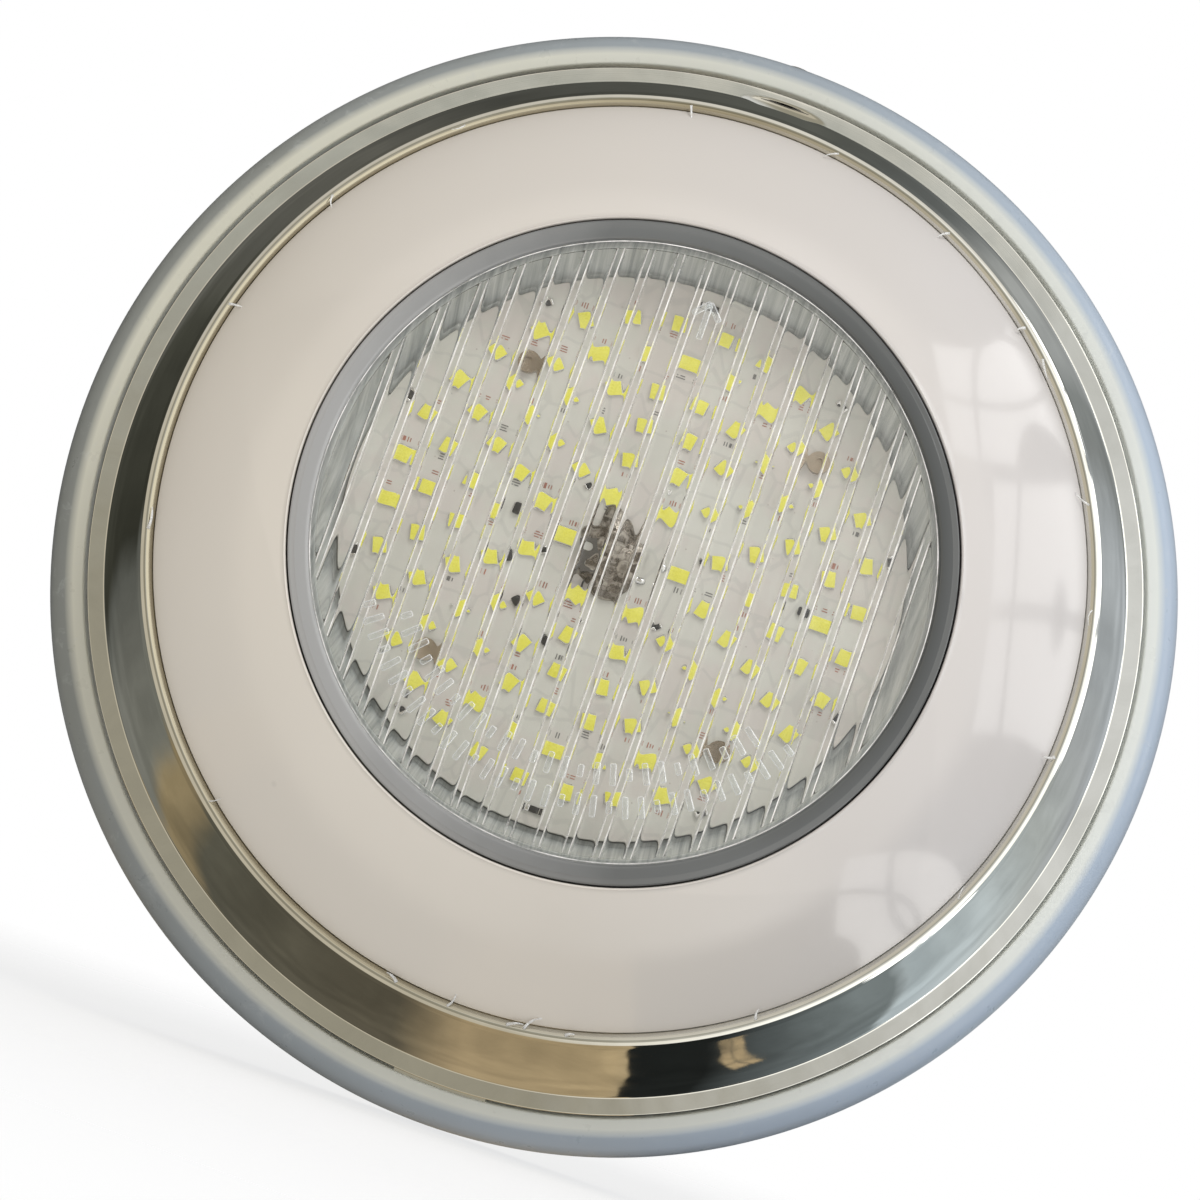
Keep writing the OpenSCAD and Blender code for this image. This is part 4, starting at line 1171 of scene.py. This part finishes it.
def tube(points, r, sides):
    """A closed round rod of radius r mm through points of the frame, made section by section."""
    bm = bmesh.new()
    count = len(points)
    tangents = [(points[min(i + 1, count - 1)] - points[max(i - 1, 0)]).normalized() for i in range(count)]
    side = tangents[0].orthogonal().normalized()
    rings = []
    for point, tangent in zip(points, tangents):
        side = (side - tangent * side.dot(tangent)).normalized()
        other = tangent.cross(side)
        turn = [2 * math.pi * k / sides for k in range(sides)]
        rings.append([bm.verts.new(point + (side * math.cos(a) + other * math.sin(a)) * r * MM)
                      for a in turn])
    for here, after in zip(rings, rings[1:]):
        for k in range(sides):
            m = (k + 1) % sides
            bm.faces.new([here[k], here[m], after[m], after[k]])
    bm.faces.new(rings[0][::-1])
    bm.faces.new(rings[-1])
    return bm


def make_hook_wire():
    """The short bent wire by the centre contacts."""
    points = []
    for i in range(25):
        t = i / 24
        a = math.radians(200 - 250 * t)
        x, y = -5.6 + 1.3 * math.cos(a) - 0.4 * t, -9.6 + 2.0 * math.sin(a)
        points.append(at(x, y, BOARD_TOP_Z + 0.6 + 1.2 * t))
    wire = new_piece("centre_hook_wire", tube(points, 0.22, 12), "component_black")
    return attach(wire, "head")


def make_solder_blobs():
    """Solder and bare contacts round the wire hole."""
    rng = random.Random(5)
    bm = bmesh.new()
    for k in range(11):
        angle, r = 360 * k / 11 + rng.uniform(-9, 9), rng.uniform(5.6, 11.2)
        size = rng.uniform(0.7, 1.3)
        here = on_board(r, angle, 0.1, rng.uniform(0, 90))
        made = bmesh.ops.create_icosphere(bm, subdivisions=3, radius=1.0)["verts"]
        scale = Matrix.Diagonal((size * MM, size * MM * rng.uniform(0.6, 1.0), size * 0.55 * MM, 1.0))
        bmesh.ops.transform(bm, matrix=here @ scale, verts=made)
    blobs = new_piece("centre_solder", bm, "screw_steel", [SOLDER])
    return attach(blobs, "head")


def make_sealant():
    """An uneven pool of potting over the contacts and the wire hole."""
    rng = random.Random(9)
    turns = [rng.uniform(0, 360) for _ in range(14)][::2]   # every second draw, one for each wave
    bm = bmesh.new()
    made = bmesh.ops.create_icosphere(bm, subdivisions=5, radius=1.0)["verts"]
    for v in made:
        angle = math.degrees(math.atan2(v.co.y, v.co.x))
        swell = 1 + sum(0.05 * math.cos(math.radians(k * angle + turn)) for k, turn in enumerate(turns, 2))
        lump = 1 + 0.18 * math.sin(5.1 * v.co.x + 1.3) * math.sin(4.3 * v.co.y)
        v.co = Vector((v.co.x * 8.0 * swell, v.co.y * 10.2 * swell, max(v.co.z, -0.05) * 3.6 * lump)) * MM
    bmesh.ops.transform(bm, matrix=stand(-2.6, -1.0, BOARD_TOP_Z + 0.2, 12), verts=bm.verts)
    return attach(new_piece("centre_potting", bm, "component_black", [SEALANT]), "head")


def make_print_marks():
    """Small printed bars and ticks beside the LEDs, in brown and grey."""
    rng = random.Random(3)
    bm = bmesh.new()
    for r, degrees, _ in led_places():
        side = rng.choice((-1, 1))
        ink = rng.choice((0, 0, 1))
        x, y = r * math.cos(math.radians(degrees)), r * math.sin(math.radians(degrees))
        x += rng.uniform(-1, 1.6)
        y += side * rng.uniform(3.3, 3.9)
        here = stand(x, y, BOARD_TOP_Z + 0.04, rng.choice((0, 90)))
        for k in range(rng.choice((2, 3))):
            box_into(bm, (rng.uniform(0.8, 1.5), 0.24, 0.04), here @ shift(0, 0.62 * k, 0), ink)
    marks = new_piece("board_print_bars", bm, "led_board_white", [PRINT_BROWN, PRINT_GREY])
    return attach(marks, "head")


# ---- Cable ----------------------------------------------------------------------------------


def cable_points():
    """Out of the wall, round into a spare coil behind the lamp, and into the lamp's gland."""
    start_z, gland_z, turn_r = 8 + BEND_R, 42.0, 18.0
    points = [polar(OUTLET_R, OUTLET_ANGLE, z) for z in (0.05, 2, 4, 6)]
    for i in range(14):
        b = math.pi / 2 * i / 14
        points.append(polar(OUTLET_R, OUTLET_ANGLE + BEND_TURN * (1 - math.cos(b)), 8 + BEND_R * math.sin(b)))
    for i in range(241):
        t = i / 240
        points.append(polar(OUTLET_R, OUTLET_ANGLE + BEND_TURN + COIL_SWEEP * t,
                            start_z + (gland_z - start_z) * t))
    for i in range(1, 17):
        g = math.pi / 2 * i / 16
        points.append(at(turn_r - OUTLET_R - turn_r * math.cos(g), -turn_r * math.sin(g), gland_z))
    points += [at(x, -turn_r, gland_z) for x in (-82, -76, -70, -64, -58, -56)]
    return points


def even_blend(centres, sides):
    """Works out a share for each cross-section, easing from 0 to 1 by length along the cable; nothing uses
    the shares.
    """
    run = [0.0]
    for here, after in zip(centres, centres[1:]):
        run.append(run[-1] + (after - here).length / MM)
    first, last = 12.0, run[-1] - 60.0
    shares = []
    for length in run:
        t = min(1.0, max(0.0, (length - first) / (last - first)))
        shares += [t * t * (3 - 2 * t)] * sides


def make_cable():
    centres, sides = cable_points(), 28
    cable = new_piece("supply_cable", tube(centres, CABLE_R - 0.02, sides), "cable_sheath")
    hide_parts("cable")
    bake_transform(cable)
    even_blend(centres, sides)
    return cable


make_wall_base()
make_grommet()
make_lock_screw()
make_lock_washer()
make_face_ring()
make_torn_film()
make_dome()
make_bezel()
make_lens()
make_lens_marks()
make_cup()
make_board()
make_leds()
make_resistors()
make_driver_chips()
make_hook_wire()
make_solder_blobs()
make_sealant()
make_print_marks()
make_cable()

# The face's steel mirrors the room only, not the parts beside it.
for piece in bpy.context.scene.objects:
    if piece.name.startswith(("lock_", "hinge_hook")):
        piece.visible_glossy = False


# ---- Stage, light and camera ----------------------------------------------------------------

ROLL = math.radians(19.4)       # the light's top leans this far clockwise from the picture's up
TILT = math.radians(7.5)        # the camera looks this far off the light's axis
TILT_TOWARDS = math.radians(12.0)
DISTANCE = 0.8

picture_right = Vector((math.cos(ROLL), 0, math.sin(ROLL)))
picture_up = Vector((-math.sin(ROLL), 0, math.cos(ROLL)))
outward = Vector((0, -1, 0))


def in_room(right, up, out):
    """A place in metres, by the picture's own right and up and the distance from the wall."""
    return picture_right * right + picture_up * up + outward * out


def make_camera():
    lean = picture_right * math.sin(TILT_TOWARDS) + picture_up * math.cos(TILT_TOWARDS)
    level = picture_right * math.cos(TILT_TOWARDS) - picture_up * math.sin(TILT_TOWARDS)
    back = outward * math.cos(TILT) - lean * math.sin(TILT)
    lean = lean * math.cos(TILT) + outward * math.sin(TILT)
    right = level * math.cos(TILT_TOWARDS) + lean * math.sin(TILT_TOWARDS)
    up = lean * math.cos(TILT_TOWARDS) - level * math.sin(TILT_TOWARDS)
    data = bpy.data.cameras.new("camera")
    data.lens = 92.1
    data.shift_x = -0.0125
    data.shift_y = -0.0180
    data.clip_start = 0.01
    camera = bpy.data.objects.new("camera", data)
    place = back * DISTANCE - right * 0.0001 + up * 0.00315     # aimed 3 mm above the middle
    turn = Matrix((right, up, back)).transposed().to_4x4()
    camera.matrix_world = Matrix.Translation(place) @ turn
    bpy.context.scene.collection.objects.link(camera)
    bpy.context.scene.camera = camera


def make_floor():
    """A plain pale floor that fades out before its edge."""
    n = Nodes("pale_floor")
    coordinate = n.add("ShaderNodeTexCoord").outputs["Object"]
    x, y, z = n.split(coordinate)
    reach = n.math("SQRT", n.math("ADD", n.math("MULTIPLY", x, x), n.math("MULTIPLY", y, y)))
    paint = n.principled(Base_Color=(0.93, 0.93, 0.93), Roughness=0.7)
    bright = n.add("ShaderNodeEmission", inputs={"Color": (1.0, 1.0, 1.0), "Strength": 0.99})
    pale = n.blend(0.72, paint, bright.outputs[0])
    clear = n.add("ShaderNodeBsdfTransparent")
    material = n.done(n.blend(n.remap(reach, 0.14, 0.42, 0, 1), pale, clear.outputs[0]))
    bm = bmesh.new()
    bmesh.ops.create_circle(bm, cap_ends=True, segments=96, radius=0.6)
    mesh = bpy.data.meshes.new("floor")
    bm.to_mesh(mesh)
    bm.free()
    mesh.materials.append(material)
    floor = bpy.data.objects.new("floor", mesh)
    floor.location = (0, (cad_box[0].y + cad_box[1].y) / 2, cad_box[0].z - 0.0005)
    floor.visible_glossy = False
    floor.visible_diffuse = False
    bpy.context.scene.collection.objects.link(floor)


# The room's far walls as the polished steel sees them, by direction round the light in degrees from
# the picture's right, counter-clockwise.
ROOM = [
    (0, (0.44, 0.47, 0.49)), (16, (0.46, 0.49, 0.51)), (26, (0.24, 0.255, 0.25)),
    (32, (0.22, 0.235, 0.23)), (37, (0.36, 0.375, 0.37)), (46, (0.34, 0.35, 0.34)),
    (54, (0.15, 0.16, 0.155)), (68, (0.095, 0.098, 0.085)), (98, (0.070, 0.070, 0.060)),
    (112, (0.115, 0.112, 0.095)), (126, (0.125, 0.123, 0.105)), (137, (0.060, 0.060, 0.047)),
    (165, (0.040, 0.040, 0.030)), (170, (0.12, 0.123, 0.108)), (180, (0.19, 0.19, 0.165)),
    (192, (0.20, 0.20, 0.17)), (196, (0.30, 0.235, 0.13)), (203, (0.24, 0.19, 0.11)),
    (206, (0.105, 0.10, 0.075)), (241, (0.115, 0.10, 0.07)), (250, (0.42, 0.32, 0.185)),
    (272, (0.47, 0.36, 0.205)), (314, (0.50, 0.57, 0.60)), (326, (0.53, 0.59, 0.61)),
    (338, (0.46, 0.49, 0.48)), (350, (0.40, 0.42, 0.43)), (360, (0.44, 0.47, 0.49)),
]


def make_world():
    """A white studio. Glossy surfaces see a room instead: pale in front, windows beside, far walls behind."""
    world = bpy.data.worlds.new("studio")
    world.use_nodes = True
    n = Nodes.__new__(Nodes)
    n.tree = world.node_tree
    n.tree.nodes.clear()
    n.output = n.add("ShaderNodeOutputWorld")
    direction = n.add("ShaderNodeTexCoord").outputs["Generated"]

    def along(axis):
        dot = n.add("ShaderNodeVectorMath", operation="DOT_PRODUCT", inputs={0: direction, 1: axis})
        return dot.outputs["Value"]

    def window(right, up, half_right, half_up):
        """1 inside a rectangle of directions, split by a cross of glazing bars."""
        du = n.math("SUBTRACT", right_share, right)
        dv = n.math("SUBTRACT", up_share, up)
        inside = 1.0
        for offset, half in ((du, half_right), (dv, half_up)):
            away = n.math("ABSOLUTE", offset)
            edge = n.remap(away, half * 0.94, half, 1, 0)
            bar = n.remap(away, half * 0.05, half * 0.09, 0.15, 1)
            inside = n.math("MULTIPLY", n.math("MULTIPLY", edge, bar), inside)
        return inside

    right_share, up_share, front_share = along(picture_right), along(picture_up), along(outward)
    ahead = n.mix(n.remap(right_share, 0.0, 0.17, 0, 1), (0.38, 0.352, 0.275), (0.80, 0.80, 0.78))
    ahead = n.mix(n.remap(up_share, 0.12, 0.28, 0, 0.9), ahead, (0.50, 0.505, 0.46))
    beside = n.mix(n.remap(right_share, -0.15, 0.35, 0, 1), (0.62, 0.56, 0.44), (1.5, 1.47, 1.38))
    beside = n.mix(n.remap(up_share, 0.2, 0.5, 0, 0.75), beside, (0.68, 0.64, 0.57))
    turn = n.math("FRACT", n.math("DIVIDE", n.math("ARCTAN2", up_share, right_share), 2 * math.pi))
    far = n.ramp(turn, [(degrees / 360, colour) for degrees, colour in ROOM])
    right_of_box = n.remap(turn, 273.0 / 360, 273.4 / 360, 0, 1)
    dim = n.mix(n.remap(turn, 284 / 360, 306 / 360, 0, 1), (0.016, 0.018, 0.017), (0.20, 0.23, 0.235))
    far = n.mix(n.math("MULTIPLY", right_of_box, n.remap(turn, 311 / 360, 313 / 360, 1, 0)), far, dim)
    mottle = n.remap(n.noise(direction, 9.0, 4), 0.35, 0.7, 0.82, 1.2)
    far = n.add("ShaderNodeVectorMath", operation="SCALE", inputs={0: far, "Scale": mottle}).outputs[0]
    room = n.mix(n.remap(front_share, 0.40, 0.55, 0, 1), far, beside)
    room = n.mix(n.remap(front_share, 0.945, 0.962, 0, 1), room, ahead)
    panes = n.math("MAXIMUM", window(0.80, 0.46, 0.11, 0.13), window(0.68, -0.70, 0.13, 0.11))
    panes = n.math("MAXIMUM", panes, window(0.92, 0.0, 0.08, 0.30))
    panes = n.math("MULTIPLY", panes, n.remap(front_share, -0.3, -0.15, 0, 1))
    room = n.mix(panes, room, (2.4, 2.4, 2.36))
    box_side = n.math("MULTIPLY", window(0.21, -0.62, 0.022, 0.06), n.remap(front_share, 0.0, -0.1, 0, 1))
    room = n.mix(box_side, room, (0.50, 0.38, 0.22))

    path = n.add("ShaderNodeLightPath")
    soft = n.mix(n.remap(right_share, -1, 1, 0, 1), (0.60, 0.575, 0.54), (0.74, 0.76, 0.80))
    lit = n.mix(path.outputs["Is Glossy Ray"], soft, room)
    lit = n.mix(path.outputs["Is Camera Ray"], lit, (1.0, 1.0, 1.0))
    shade = n.add("ShaderNodeBackground", inputs={"Color": lit, "Strength": 1.0})
    n.put(shade.outputs[0], n.output.inputs["Surface"])
    bpy.context.scene.world = world


def make_lamp(name, place, size, watts, colour):
    data = bpy.data.lights.new(name, "AREA")
    data.shape = "DISK"
    data.size = size
    data.energy = watts
    data.color = colour
    lamp = bpy.data.objects.new(name, data)
    lamp.location = place
    lamp.rotation_mode = "QUATERNION"
    lamp.rotation_quaternion = (Vector(place) - Vector((0, -0.04, 0))).to_track_quat("Z", "Y")
    lamp.visible_glossy = False
    bpy.context.scene.collection.objects.link(lamp)


make_camera()
make_floor()
make_world()
make_lamp("key_softbox", in_room(0.7, 0.9, 0.9), 0.7, 8.0, (1.0, 0.985, 0.96))
make_lamp("fill_softbox", in_room(-0.6, -0.7, 0.8), 0.9, 6.5, (1.0, 0.97, 0.92))
bpy.context.scene.view_settings.view_transform = "Standard"
